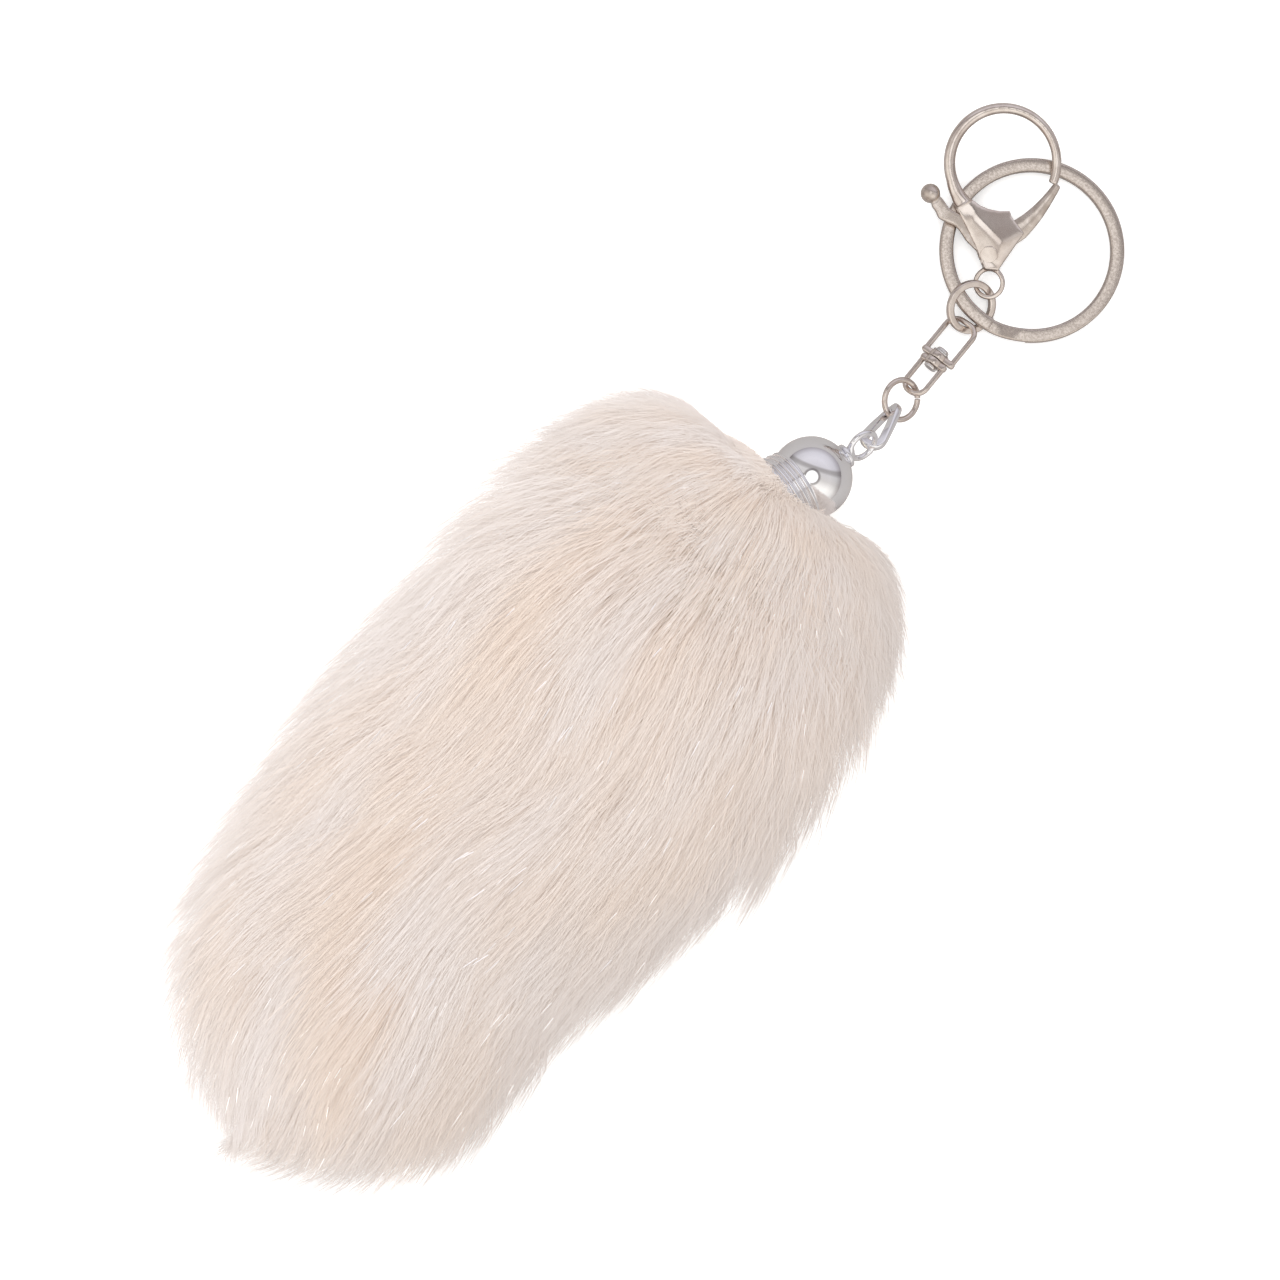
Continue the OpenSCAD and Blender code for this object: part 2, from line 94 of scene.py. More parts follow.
def soft_light(name, place, size, power, colour=(1, 1, 1), mirrored=True):
    """A square soft box that faces the middle of the table. Place and size in metres, power in watts. One
    that isn't mirrored stays out of the metal's reflections."""
    data = bpy.data.lights.new(name, "AREA")
    data.energy = power
    data.size = size
    data.color = colour
    light = bpy.data.objects.new(name, data)
    bpy.context.scene.collection.objects.link(light)
    light.location = place
    light.visible_glossy = mirrored
    light.rotation_euler = light.location.to_track_quat("Z", "Y").to_euler()


def ramp_node(tree, fac, stops):
    """A colour ramp over the socket fac, from (place, colour) stops."""
    node = tree.nodes.new("ShaderNodeValToRGB")
    elements = node.color_ramp.elements
    while len(elements) < len(stops):
        elements.new(0.5)
    for element, (place, colour) in zip(elements, stops):
        element.position = place
        element.color = (*colour, 1)
    tree.links.new(fac, node.inputs["Fac"])
    return node.outputs["Color"]


def sky_shade(tree, direction, *stops):
    """A colour for each direction of the room, by how far it leans towards one direction, from -1 to 1."""
    toward = tree.nodes.new("ShaderNodeVectorMath")
    toward.operation = "DOT_PRODUCT"
    toward.inputs[1].default_value = direction
    spread = tree.nodes.new("ShaderNodeMapRange")
    spread.inputs["From Min"].default_value = -1
    tree.links.new(tree.nodes["place"].outputs["Generated"], toward.inputs[0])
    tree.links.new(toward.outputs["Value"], spread.inputs["Value"])
    return ramp_node(tree, spread.outputs["Result"], [((lean + 1) / 2, colour) for lean, colour in stops])


def blend_node(tree, kind, share, a, b):
    """Colour a mixed with b. Each of the three is a socket or a constant."""
    node = tree.nodes.new("ShaderNodeMix")
    node.data_type = "RGBA"
    node.blend_type = kind
    for value, socket in ((share, "Factor"), (a, "A"), (b, "B")):
        if isinstance(value, bpy.types.NodeSocket):
            tree.links.new(value, node.inputs[socket])
        else:
            node.inputs[socket].default_value = value
    return node.outputs["Result"]


def make_studio():
    """A pale floor, three soft boxes and a plain room. What the metal reflects is a round lamp overhead, a
    lavender-grey wall on one side, a cream wall on the other and a grey floor. Every other ray meets a
    white room."""
    room = bpy.data.worlds.new("studio")
    room.use_nodes = True
    tree = room.node_tree
    tree.nodes.new("ShaderNodeTexCoord").name = "place"
    path = tree.nodes.new("ShaderNodeLightPath")
    walls = sky_shade(tree, (0.30, -0.95, 0), (-1, (0.72, 0.70, 0.75)), (-0.56, (0.62, 0.60, 0.63)),
                      (-0.48, (0.36, 0.34, 0.34)), (-0.38, (0.38, 0.36, 0.36)), (-0.28, (0.60, 0.58, 0.58)),
                      (0, (0.62, 0.59, 0.57)), (0.30, (0.92, 0.89, 0.85)), (0.6, (1, 0.98, 0.94)),
                      (1, (0.80, 0.77, 0.73)))
    rise = sky_shade(tree, (0, 0, 1), (0, (0.50, 0.48, 0.48)), (0.3, (0.85, 0.85, 0.85)), (0.6, (1, 1, 1)),
                     (0.90, (0.95, 0.95, 0.95)), (0.925, (0.50, 0.49, 0.49)), (0.945, (0.42, 0.40, 0.40)))
    lamp = sky_shade(tree, (0, 0, 1), (0.945, (0, 0, 0)), (0.958, (1, 0.99, 0.98)))
    mirrored = blend_node(tree, "LIGHTEN", 1.0, blend_node(tree, "MULTIPLY", 1.0, walls, rise), lamp)
    white = sky_shade(tree, (0, 0, 1), (0, (0.68, 0.67, 0.67)), (0.5, (0.79, 0.79, 0.79)))
    tree.links.new(blend_node(tree, "MIX", path.outputs["Is Glossy Ray"], white, mirrored),
                   tree.nodes["Background"].inputs["Color"])
    tree.nodes["Background"].inputs["Strength"].default_value = 1.2
    bpy.context.scene.world = room
    bpy.context.scene.view_settings.view_transform = "Standard"
    bpy.context.scene.cycles.diffuse_bounces = 8
    soft_light("key_soft_box", (-0.5, 0.25, 1.0), 0.6, 3.2, mirrored=False)
    soft_light("fill_soft_box", (0.5, -0.2, 1.0), 0.9, 2.4, (1, 0.985, 0.96), mirrored=False)
    soft_light("top_soft_box", (-0.10, 0.06, 1.6), 0.3, 2.0, mirrored=False)
    make_table()


def make_table():
    """The table's top, just under the lowest point of the object."""
    data = bpy.data.meshes.new("table_top")
    corners = [(x * TABLE_HALF, y * TABLE_HALF, 0) for x, y in ((-1, -1), (1, -1), (1, 1), (-1, 1))]
    data.from_pydata(corners, [], [(0, 1, 2, 3)])
    table = bpy.data.objects.new("table_top", data)
    bpy.context.scene.collection.objects.link(table)
    table.location = (0, 0, min(0.0, cad_box[0][2]) - TABLE_GAP)
    data.materials.append(table_finish())


def table_finish():
    """Matt white laminate. In the metal's reflections it is a mid grey."""
    made = bpy.data.materials.new("table_white")
    made.use_nodes = True
    tree = made.node_tree
    path = tree.nodes.new("ShaderNodeLightPath").outputs["Is Glossy Ray"]
    shader = tree.nodes["Principled BSDF"]
    shader.inputs["Roughness"].default_value = 0.6
    shader.inputs["Specular IOR Level"].default_value = 0.2
    shader.inputs["Emission Strength"].default_value = 0.3
    tree.links.new(blend_node(tree, "MIX", path, (0.93, 0.925, 0.92, 1), (0.42, 0.40, 0.39, 1)),
                   shader.inputs["Base Color"])
    tree.links.new(blend_node(tree, "MIX", path, (1, 1, 1, 1), (0, 0, 0, 1)), shader.inputs["Emission Color"])
    return made


make_camera()
make_studio()


# ---- Finishes

class Finish:
    """A material with a Principled shader, and short ways to add nodes to it."""

    def __init__(self, name, **values):
        self.material = bpy.data.materials.new(name)
        self.material.use_nodes = True
        self.nodes = self.material.node_tree.nodes
        self.links = self.material.node_tree.links
        self.shader = self.nodes["Principled BSDF"]
        for socket, value in values.items():
            self.shader.inputs[socket.replace("_", " ")].default_value = value

    def add(self, kind, **settings):
        node = self.nodes.new("ShaderNode" + kind)
        for key, value in settings.items():
            setattr(node, key, value)
        return node

    def join(self, out, into):
        self.links.new(out, into)

    def feed(self, out, socket):
        self.links.new(out, self.shader.inputs[socket])

    def ramp(self, fac, *stops):
        return ramp_node(self.material.node_tree, fac, stops)

    def noise(self, scale, detail=2):
        """Noise over the object's own coordinates."""
        node = self.add("TexNoise")
        node.inputs["Scale"].default_value = scale
        node.inputs["Detail"].default_value = detail
        self.join(self.add("TexCoord").outputs["Object"], node.inputs["Vector"])
        return node.outputs["Fac"]

    def bump(self, height, strength, distance):
        node = self.add("Bump")
        node.inputs["Strength"].default_value = strength
        node.inputs["Distance"].default_value = distance
        self.join(height, node.inputs["Height"])
        self.feed(node.outputs["Normal"], "Normal")


def fur_finish():
    """Acrylic pile: peach-cream at the root, cream along the shaft and nearly white at the tip. The hair
    attribute holds the share of the length, a number for each hair and how peach its place is. That peach
    share drops on the tail's sides as painted light, for the paler, cooler look of light through the thin
    pile there."""
    made = Finish("ivory_faux_fur", Roughness=0.6, Sheen_Weight=0.4, Sheen_Roughness=0.45)
    made.shader.inputs["Specular IOR Level"].default_value = 0.25
    # The pile glows peach-cream though it is no lamp. This is painted light: it stands in for light scattered
    # deep in the pile and fills the shade between hairs.
    made.shader.inputs["Emission Color"].default_value = (1, 0.84, 0.74, 1)
    made.shader.inputs["Emission Strength"].default_value = 0.34
    parts = made.add("SeparateXYZ")
    made.join(made.add("Attribute", attribute_name="hair").outputs["Vector"], parts.inputs[0])
    along, single, peach_and_painted_paling = parts.outputs
    # Where the peach share is low, the shaft takes the cool ramp. On the tail's sides that low share is
    # painted light: the paler, cooler look of light through the thin pile.
    cool = made.ramp(along, (0, (0.52, 0.45, 0.41)), (0.4, (0.55, 0.52, 0.51)), (1, (0.58, 0.57, 0.58)))
    warm = made.ramp(along, (0, (0.54, 0.38, 0.27)), (0.4, (0.57, 0.46, 0.38)), (1, (0.57, 0.51, 0.46)))
    varied = made.ramp(single, (0, (0.94, 0.93, 0.92)), (0.5, (1, 1, 1)), (1, (1, 0.99, 0.97)))
    tree = made.material.node_tree
    shaft = blend_node(tree, "MIX", peach_and_painted_paling, cool, warm)
    made.feed(blend_node(tree, "MULTIPLY", 1.0, shaft, varied), "Base Color")
    return made.material


def tinsel_finish():
    """Thin strips of metallised film. They glow a little as painted glint, though they are no lamp."""
    # The emission strength here is painted glint.
    made = Finish("silver_tinsel", Metallic=1.0, Roughness=0.12, Emission_Strength=0.45)
    made.feed(made.ramp(made.noise(900), (0.3, (0.95, 0.95, 0.97)), (0.7, (1, 0.98, 0.95))), "Base Color")
    return made.material


def grain_group():
    """Fine pits and soft blotches of plated metal. Blotch is a slow mask, Pits a height."""
    group = bpy.data.node_groups.new("plating_grain", "ShaderNodeTree")
    group.interface.new_socket("Pit Scale", in_out="INPUT", socket_type="NodeSocketFloat")
    group.interface.new_socket("Blotch Scale", in_out="INPUT", socket_type="NodeSocketFloat")
    group.interface.new_socket("Blotch", in_out="OUTPUT", socket_type="NodeSocketFloat")
    group.interface.new_socket("Pits", in_out="OUTPUT", socket_type="NodeSocketFloat")
    entry = group.nodes.new("NodeGroupInput")
    leave = group.nodes.new("NodeGroupOutput")
    place = group.nodes.new("ShaderNodeTexCoord")
    for scale, socket, detail in (("Pit Scale", "Pits", 3), ("Blotch Scale", "Blotch", 4)):
        noise = group.nodes.new("ShaderNodeTexNoise")
        noise.inputs["Detail"].default_value = detail
        group.links.new(place.outputs["Object"], noise.inputs["Vector"])
        group.links.new(entry.outputs[scale], noise.inputs["Scale"])
        group.links.new(noise.outputs["Fac"], leave.inputs[socket])
    return group


GRAIN = grain_group()


def metal_finish(name, dull, bright, rough, pit_scale=3500, pit_depth=0.02, blotch_scale=260):
    """Plated metal: its colour runs between dull and bright and its roughness varies with the blotches, and
    the pits are a fine bump."""
    made = Finish(name, Metallic=1.0)
    grain = made.add("Group", node_tree=GRAIN)
    grain.inputs["Pit Scale"].default_value = pit_scale
    grain.inputs["Blotch Scale"].default_value = blotch_scale
    made.feed(made.ramp(grain.outputs["Blotch"], (0.35, dull), (0.65, bright)), "Base Color")
    spread = made.add("MapRange")
    for socket, value in zip(spread.inputs[1:5], (0.3, 0.7, rough * 1.35, rough * 0.75)):
        socket.default_value = value
    made.join(grain.outputs["Blotch"], spread.inputs["Value"])
    made.feed(spread.outputs["Result"], "Roughness")
    made.bump(grain.outputs["Pits"], 0.5, pit_depth * MM)
    return made.material


def soft_finish(name, dark, light, scale, rough, depth):
    """Knit, fibre, thread or glue: a noise between two colours with a matching bump."""
    made = Finish(name, Roughness=rough)
    pattern = made.noise(scale, 4)
    made.feed(made.ramp(pattern, (0.35, dark), (0.65, light)), "Base Color")
    made.bump(pattern, 0.6, depth * MM)
    return made.material


# ---- Surfaces in numpy

def unit(v):
    return v / np.maximum(np.linalg.norm(v, axis=-1, keepdims=True), 1e-12)


def step_up(value, start, end):
    """0 before start, 1 past end and an even rise between them."""
    return np.clip((value - start) / (end - start), 0, 1)


def dot(a, b):
    """Row by row product of two tables of vectors, as a column."""
    return np.einsum("ij,ij->i", a, b)[:, None]


def read_all(items, key, width, kind=np.float32):
    """One property of every item of a mesh as a table with width columns."""
    values = np.empty(len(items) * width, kind)
    items.foreach_get(key, values)
    return values.reshape(-1, width)


def new_piece(name, points, faces, finish, body, slot, stands_for=(), hair=None):
    """A closed piece from points (n, 3) in millimetres and face tables, one row of corners a face. Faces
    are turned outwards by the sign of the enclosed volume: the sum of each triangle's corner product, a .
    (b x c) / 6."""
    fans = [np.stack([f[:, 0], f[:, k], f[:, k + 1]], 1) for f in faces for k in range(1, f.shape[1] - 1)]
    a, b, c = np.moveaxis(points[np.concatenate(fans)], 1, 0)
    if np.einsum("ij,ij->", a, np.cross(b, c)) < 0:
        faces = [f[:, ::-1] for f in faces]
    corners = np.concatenate([f.ravel() for f in faces]).astype(np.int32)
    sizes = np.concatenate([np.full(len(f), f.shape[1]) for f in faces])
    starts = np.concatenate([[0], np.cumsum(sizes)[:-1]]).astype(np.int32)
    mesh = bpy.data.meshes.new(name)
    mesh.vertices.add(len(points))
    mesh.vertices.foreach_set("co", (points * MM).astype(np.float32).ravel())
    mesh.loops.add(len(corners))
    mesh.loops.foreach_set("vertex_index", corners)
    mesh.polygons.add(len(sizes))
    mesh.polygons.foreach_set("loop_start", starts)
    mesh.update(calc_edges=True)
    mesh.shade_smooth()
    if hair is not None:
        told = mesh.attributes.new("hair", "FLOAT_VECTOR", "POINT")
        told.data.foreach_set("vector", hair.astype(np.float32).ravel())
    mesh.materials.append(finish)
    piece = bpy.data.objects.new(name, mesh)
    bpy.context.scene.collection.objects.link(piece)
    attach(piece, body)
    if stands_for:
        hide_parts(*stands_for)
    return piece


def ring_faces(rings, sides, closed):
    """Corners of the four-sided faces between rings of points, each ring joined to the next."""
    i, j = np.arange(rings if closed else rings - 1)[:, None] * sides, np.arange(sides)
    k, beside = (i + sides) % (rings * sides), (j + 1) % sides
    return np.stack([i + j, i + beside, k + beside, k + j], -1).reshape(-1, 4)


def sweep(path, up, section, closed=False, size=None):
    """A section (m, 2) carried along a path (n, 3). Each ring is the path's point, plus section x along the
    side, tangent x up, and section y along side x tangent, times the ring's size."""
    ahead = np.roll(path, -1, 0) - np.roll(path, 1, 0)
    if not closed:
        ahead[0], ahead[-1] = path[1] - path[0], path[-1] - path[-2]
    tangent = unit(ahead)
    side = unit(np.cross(tangent, up))
    rise = np.cross(side, tangent)
    n, m = len(path), len(section)
    size = (np.ones(n) if size is None else size)[:, None, None]
    rings = path[:, None] + size * (section[:, :1] * side[:, None] + section[:, 1:] * rise[:, None])
    faces = [ring_faces(n, m, closed)]
    if not closed:
        faces += [np.arange(m)[None, ::-1], np.arange(m)[None] + (n - 1) * m]
    return rings.reshape(-1, 3), faces


def round_section(r, sides=28, flat=1.0):
    """A circle of radius r, with its top and bottom cut off at flat times r and their corners eased."""
    a = np.arange(sides) * TAU / sides
    y = np.sin(a)
    eased = np.sign(y) * flat * (1 - (1 - np.minimum(np.abs(y) / flat, 1)) ** 2) if flat < 1 else y
    return r * np.stack([np.cos(a), eased], 1)


def spun(profile, sides=128):
    """A closed outline of (radius, height) points turned about Y."""
    a = np.arange(sides) * TAU / sides
    m = len(profile)
    points = np.stack([profile[None, :, 0] * np.cos(a)[:, None], np.broadcast_to(profile[:, 1], (sides, m)),
                       profile[None, :, 0] * np.sin(a)[:, None]], -1)
    return points.reshape(-1, 3), [ring_faces(sides, m, True)]


def arc(centre, r, start, end, count):
    """Points of an arc in a plane, from start to end in degrees."""
    a = np.radians(np.linspace(start, end, count))
    return np.array(centre) + r * np.stack([np.cos(a), np.sin(a)], 1)


def rounded_block(half_w, half_h, r, steps):
    """A rectangle round its middle whose corners are arcs of radius r about (half_w, half_h)."""
    return np.concatenate([arc((x * half_w, y * half_h), r, start, start + 90, steps)
                           for x, y, start in ((1, 1, 0), (-1, 1, 90), (-1, -1, 180), (1, -1, 270))])


def joined(*shells):
    """Several closed shells as one table of points and faces."""
    points, faces, start = [], [], 0
    for shell, table in shells:
        points.append(shell)
        faces += [f + start for f in table]
        start += len(shell)
    return np.concatenate(points), faces


def in_place(shell, turn, at):
    """The shell turned and moved from its own frame."""
    points, faces = shell
    return points @ turn.T + at, faces


def set_piece(name, shell, turn, at, *rest):
    """A piece made of a shell that is turned and moved into place. The rest goes to new_piece."""
    return new_piece(name, *in_place(shell, turn, at), *rest)


def circle(r, a, z=0):
    """Points at the angles a of a circle about the origin."""
    return np.stack([r * np.cos(a), r * np.sin(a), z + 0 * a], 1)


def eased(points, edges, rounds):
    """Each point moves half way to the mean of its neighbours, so many times."""
    count = np.bincount(edges.ravel(), minlength=len(points))[:, None]
    here, there = np.concatenate([edges, edges[:, ::-1]]).T
    for _ in range(rounds):
        total = np.stack([np.bincount(here, points[there, k], len(points)) for k in range(3)], 1)
        points = (points + total / count) / 2
    return points


def cast_copy(node, name, finish, body, slot, voxel, ease, turn, at, reshape):
    """A cast or forged piece: the CAD solid merged, rebuilt in even voxels (mm), eased so that its edges
    are round, and reshaped. reshape moves the points, in millimetres in the piece's own frame."""
    mesh = frame["nodes"][node].data.copy()
    work = bpy.data.objects.new(name, mesh)
    bpy.context.scene.collection.objects.link(work)
    weld = work.modifiers.new("weld", "WELD")
    weld.merge_threshold = 0.004 * MM
    remesh = work.modifiers.new("voxels", "REMESH")
    remesh.mode = "VOXEL"
    remesh.voxel_size = voxel * MM
    smooth = work.modifiers.new("ease", "SMOOTH")
    smooth.factor = 0.5
    smooth.iterations = ease
    made = bpy.data.meshes.new_from_object(work.evaluated_get(bpy.context.evaluated_depsgraph_get()))
    bpy.data.objects.remove(work)
    points = read_all(made.vertices, "co", 3).astype(float) / MM
    corners = read_all(made.loops, "vertex_index", 1, np.int32).reshape(-1, 4)
    points = eased(reshape((points - at) @ turn), read_all(made.edges, "vertices", 2, np.int32), 4 * ease)
    return set_piece(name, (points, [corners]), turn, at, finish, body, slot, (node,))


def box_mm(node):
    """The node's lowest and highest corner in millimetres."""
    low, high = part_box(node)
    return np.array(low) / MM, np.array(high) / MM


# ---- Chain places

def turned(yaw, nose_up=0, roll=0):
    """Rotation of a chain piece, in degrees: rolled about its own Y, then nosed up, then turned about Z."""
    a, b, c = np.radians([yaw, nose_up, roll])
    about_z = np.array([[math.cos(a), -math.sin(a), 0], [math.sin(a), math.cos(a), 0], [0, 0, 1]])
    about_x = np.array([[1, 0, 0], [0, math.cos(b), -math.sin(b)], [0, math.sin(b), math.cos(b)]])
    about_y = np.array([[math.cos(c), 0, math.sin(c)], [0, 1, 0], [-math.sin(c), 0, math.cos(c)]])
    return about_z @ about_x @ about_y


def middle(node):
    return sum(box_mm(node)) / 2


def joint_place(name):
    return np.array(next(j["pos_m"] for j in frame["joints"] if j["name"] == name)) / MM


DOME_R = 6.6
SKIRT_LEN = 7.0
CAP_TURN = turned(-21, -14)
CAP_AXIS = CAP_TURN @ Y
dome_c = box_mm("cap_shell")[1] - DOME_R
cap_rim = dome_c - CAP_AXIS * SKIRT_LEN


# ---- Fur
# The tail runs towards -Y. Its backing is a loft of crowned sections, and the pile stands on it.

rng = np.random.default_rng(7)

# Stations of the pile's outside: place along the tail, middle, half width, top
TAIL = np.array([
    [36.5, 0.5, 12.0, 22.0],
    [31.0, 0.5, 25.5, 32.0],
    [25.0, 0.8, 32.0, 39.0],
    [15.0, 0.6, 37.2, 45.0],
    [0.0, 0.6, 39.2, 48.8],
    [-12.0, 0.3, 39.6, 50.0],
    [-32.0, -2.4, 37.6, 50.0],
    [-52.0, -4.4, 34.4, 49.0],
    [-67.0, -4.4, 33.0, 47.5],
    [-85.0, -3.4, 29.5, 42.0],
    [-95.0, -3.2, 25.0, 36.0],
    [-101.5, -3.8, 18.0, 29.0],
])
BACKING_FRONT = 25.5
BACKING_TIP = -89.0
ROUNDING = 17.0                     # mm over which each end of the backing closes
PILE_SIDE = 14.0
PILE_TOP = 11.0
PILE_UNDER = 3.6
NECK_R = 4.4
HAIRS = 80000                       # on the backing
NECK_HAIRS = 2500                   # on the gathered neck
COLLAR_HAIRS = 3600                 # out of the cap's mouth, over its skirt
MANTLE_HAIRS = 15000                # from the cap's mouth over the shoulders
TINSELS = 420
TUFTS = 3600
TUFT_PULL = 0.12
LOCKS = 230
LOCK_PULL = 0.06
STEPS = 3                           # stretches in a hair
TAPER = np.array([1.0, 0.9, 0.6, 0])
FUR_PIECES = 10
LIFT = 0.55                         # how far shading turns upwards, as light passes through the pile
BODY_SHARE = 0.92                   # how far shading follows the tail's form rather than each hair's shaft


def backing_section(share):
    """Place along the tail, middle x, half width, top and bottom of the backing at a share of its length.
    Its ends close as an ellipse does."""
    inner = TAIL[::-1] - (0, 0, PILE_SIDE, PILE_TOP)
    y = BACKING_FRONT + (BACKING_TIP - BACKING_FRONT) * (0.5 - 0.5 * np.cos(math.pi * share))
    mid, half, top = (np.interp(y, inner[:, 0], inner[:, k]) for k in (1, 2, 3))
    nose = step_up(y, BACKING_FRONT, BACKING_FRONT - ROUNDING)
    tail = step_up(y, BACKING_TIP, BACKING_TIP + ROUNDING)
    close = np.sqrt(1 - (1 - nose) ** 2) * np.sqrt(1 - (1 - tail) ** 2)
    middle_z = PILE_UNDER + 0.46 * (top - PILE_UNDER)
    half = np.maximum(half, 12.5) * close
    return y, mid, half, middle_z + (top - middle_z) * close, middle_z - (middle_z - PILE_UNDER) * close


def backing_point(share, turn, inset=0.0):
    """A point of the backing: on the section at that share, turn round it from the right side over the
    top."""
    y, mid, half, top, low = backing_section(share)
    c, s = np.cos(turn), np.sin(turn)
    x = mid + np.maximum(half - inset, 0) * np.sign(c) * np.abs(c) ** 0.9
    z = (top + low) / 2 + np.maximum((top - low) / 2 - inset, 0) * np.sign(s) * np.abs(s) ** 0.95
    return np.stack([x, y, z], -1)


def backing_normal(share, turn):
    """Cross product of the two directions along the backing, turned outwards."""
    d = 1e-3
    along = backing_point(np.clip(share + d, 0, 1), turn) - backing_point(np.clip(share - d, 0, 1), turn)
    around = backing_point(share, turn + d) - backing_point(share, turn - d)
    n = unit(np.cross(along, around))
    y, mid, _, top, low = backing_section(share)
    centre = np.stack([mid, np.clip(y, BACKING_TIP + ROUNDING, BACKING_FRONT - ROUNDING), (top + low) / 2], 1)
    out = backing_point(share, turn) - centre
    return n * np.sign(dot(n, out))


def scatter(count):
    """Shares and turns spread evenly over the backing's area: candidates are kept with a chance in
    proportion to the area that a step of share and turn covers, and fewer are kept underneath."""
    share = rng.random(count * 6)
    turn = rng.random(count * 6) * TAU
    d = 1e-3
    p = backing_point(share, turn)
    area = np.linalg.norm(np.cross(backing_point(np.clip(share + d, 0, 1), turn) - p,
                                   backing_point(share, turn + d) - p), axis=1)
    under = np.clip(-backing_normal(share, turn)[:, 2], 0, 1)
    chance = area * (1 - 0.75 * np.minimum(under * 1.6, 1))
    keep = rng.random(len(share)) < chance / np.quantile(chance, 0.995)
    return share[keep][:count], turn[keep][:count]


def nearest(points, centres):
    """Index of the nearest centre for each point, in slices that fit in memory."""
    found = np.empty(len(points), int)
    square = (centres ** 2).sum(1)
    for start in range(0, len(points), 8000):
        part = points[start:start + 8000]
        found[start:start + 8000] = np.argmin(square - 2 * part @ centres.T, axis=1)
    return found


def waves(p, size, seed):
    """A smooth number near -1 to 1 at each point: a sum of six sines with mixed directions and one mean
    size."""
    local = np.random.default_rng(seed)
    total = np.zeros(len(p))
    for _ in range(6):
        direction = unit(local.normal(size=3)) * TAU / (size * local.uniform(0.7, 1.5))
        total += np.sin(p @ direction + local.uniform(0, TAU))
    return total / 3


def comb(root, normal):
    """The direction that the pile is brushed in: away from the cap over the shoulders, then along the tail,
    with a slow sway, and never into the backing."""
    away = root - cap_rim
    away -= dot(away, normal) * normal
    near = np.exp(-(np.linalg.norm(root - cap_rim, axis=1) / 31) ** 2)[:, None]
    sway = waves(root, 45, 3) * 0.22 + waves(root, 16, 4) * 0.05
    base = np.stack([sway - 0.04, -np.ones(len(root)), waves(root, 30, 5) * 0.10], 1)
    flow = unit(unit(base) * (1 - near) + unit(away) * near * 1.4)
    flow -= dot(flow, normal) * normal * 0.85
    return unit(flow)


def round_cap(turn):
    """Directions straight out from the cap's axis, at each turn round it."""
    return (np.cos(turn)[..., None] * X + np.sin(turn)[..., None] * Z) @ CAP_TURN.T


def off_the_table(line):
    """Lifts what lies too low, each hair to its own small height."""
    line[..., 2] = np.maximum(line[..., 2], 0.4 + rng.random(len(line))[:, None])


def hair_roots():
    """Roots and normals on the backing, and on the neck that rises from it into the cap."""
    share, turn = scatter(HAIRS)
    root, normal = backing_point(share, turn), backing_normal(share, turn)
    back = rng.random(NECK_HAIRS) ** 0.8 * 9.5
    turn = rng.random(NECK_HAIRS) * TAU
    radial = round_cap(turn)
    neck = cap_rim - CAP_AXIS * back[:, None] + radial * (NECK_R + 0.2 + 0.55 * back)[:, None]
    return np.concatenate([root, neck]), np.concatenate([normal, unit(radial + 0.35 * CAP_AXIS)])


def collar_lines():
    """Hairs that come out of the cap's mouth, rise over its skirt and fall back over the shoulders: cubic
    curves through four places given as a distance along the cap's axis and a radius from it. They rise
    highest on the right side of the cap."""
    turn = rng.random(COLLAR_HAIRS) * TAU
    right = np.cos(turn)
    crest = np.where(right > 0, 2.0 * right + 3.8 * right ** 2, 0.8 * right)
    crest -= 0.9 * np.clip(np.sin(turn), 0, 1)
    crest -= 5.8 + 1.8 * rng.random(COLLAR_HAIRS)
    far = rng.uniform(0.45, 1.5, COLLAR_HAIRS)
    knots = [(-8.6 + 0 * crest, 5.0 + 0 * crest), (crest - 0.6, 7.0 + 0.8 * rng.random(COLLAR_HAIRS)),
             (crest + 1.6, 9.2 + 1.2 * far), (crest - 4.8 * far, 9.5 + 6.5 * far)]
    t = np.linspace(0, 1, STEPS + 1)
    weights = np.stack([(1 - t) ** 3, 3 * t * (1 - t) ** 2, 3 * t * t * (1 - t), t ** 3])
    height, radius = (sum(w * k[axis][:, None] for w, k in zip(weights, knots)) for axis in (0, 1))
    swing = turn[:, None] + rng.normal(size=COLLAR_HAIRS)[:, None] * 0.16 * t
    radial = round_cap(swing)
    line = dome_c + height[..., None] * CAP_AXIS + radius[..., None] * radial
    off_the_table(line)
    return line, unit(radial[:, 1] + 0.3 * CAP_AXIS)


# Stations of the fur's outside from the cap's mouth over the shoulders: place along the tail, middle, half
# width, top
MANTLE = np.array([
    [31.0, 2.5, 6.4, 20.0],
    [32.6, 2.0, 9.8, 23.5],
    [34.2, 1.2, 14.0, 27.5],
    [34.0, 0.5, 20.0, 32.0],
    [31.0, 0.5, 26.5, 36.5],
    [25.0, 0.6, 31.5, 40.5],
    [15.5, 0.6, 35.0, 43.5],
    [4.0, 0.6, 36.6, 45.0],
    [-10.0, 0.3, 37.0, 45.5],
])


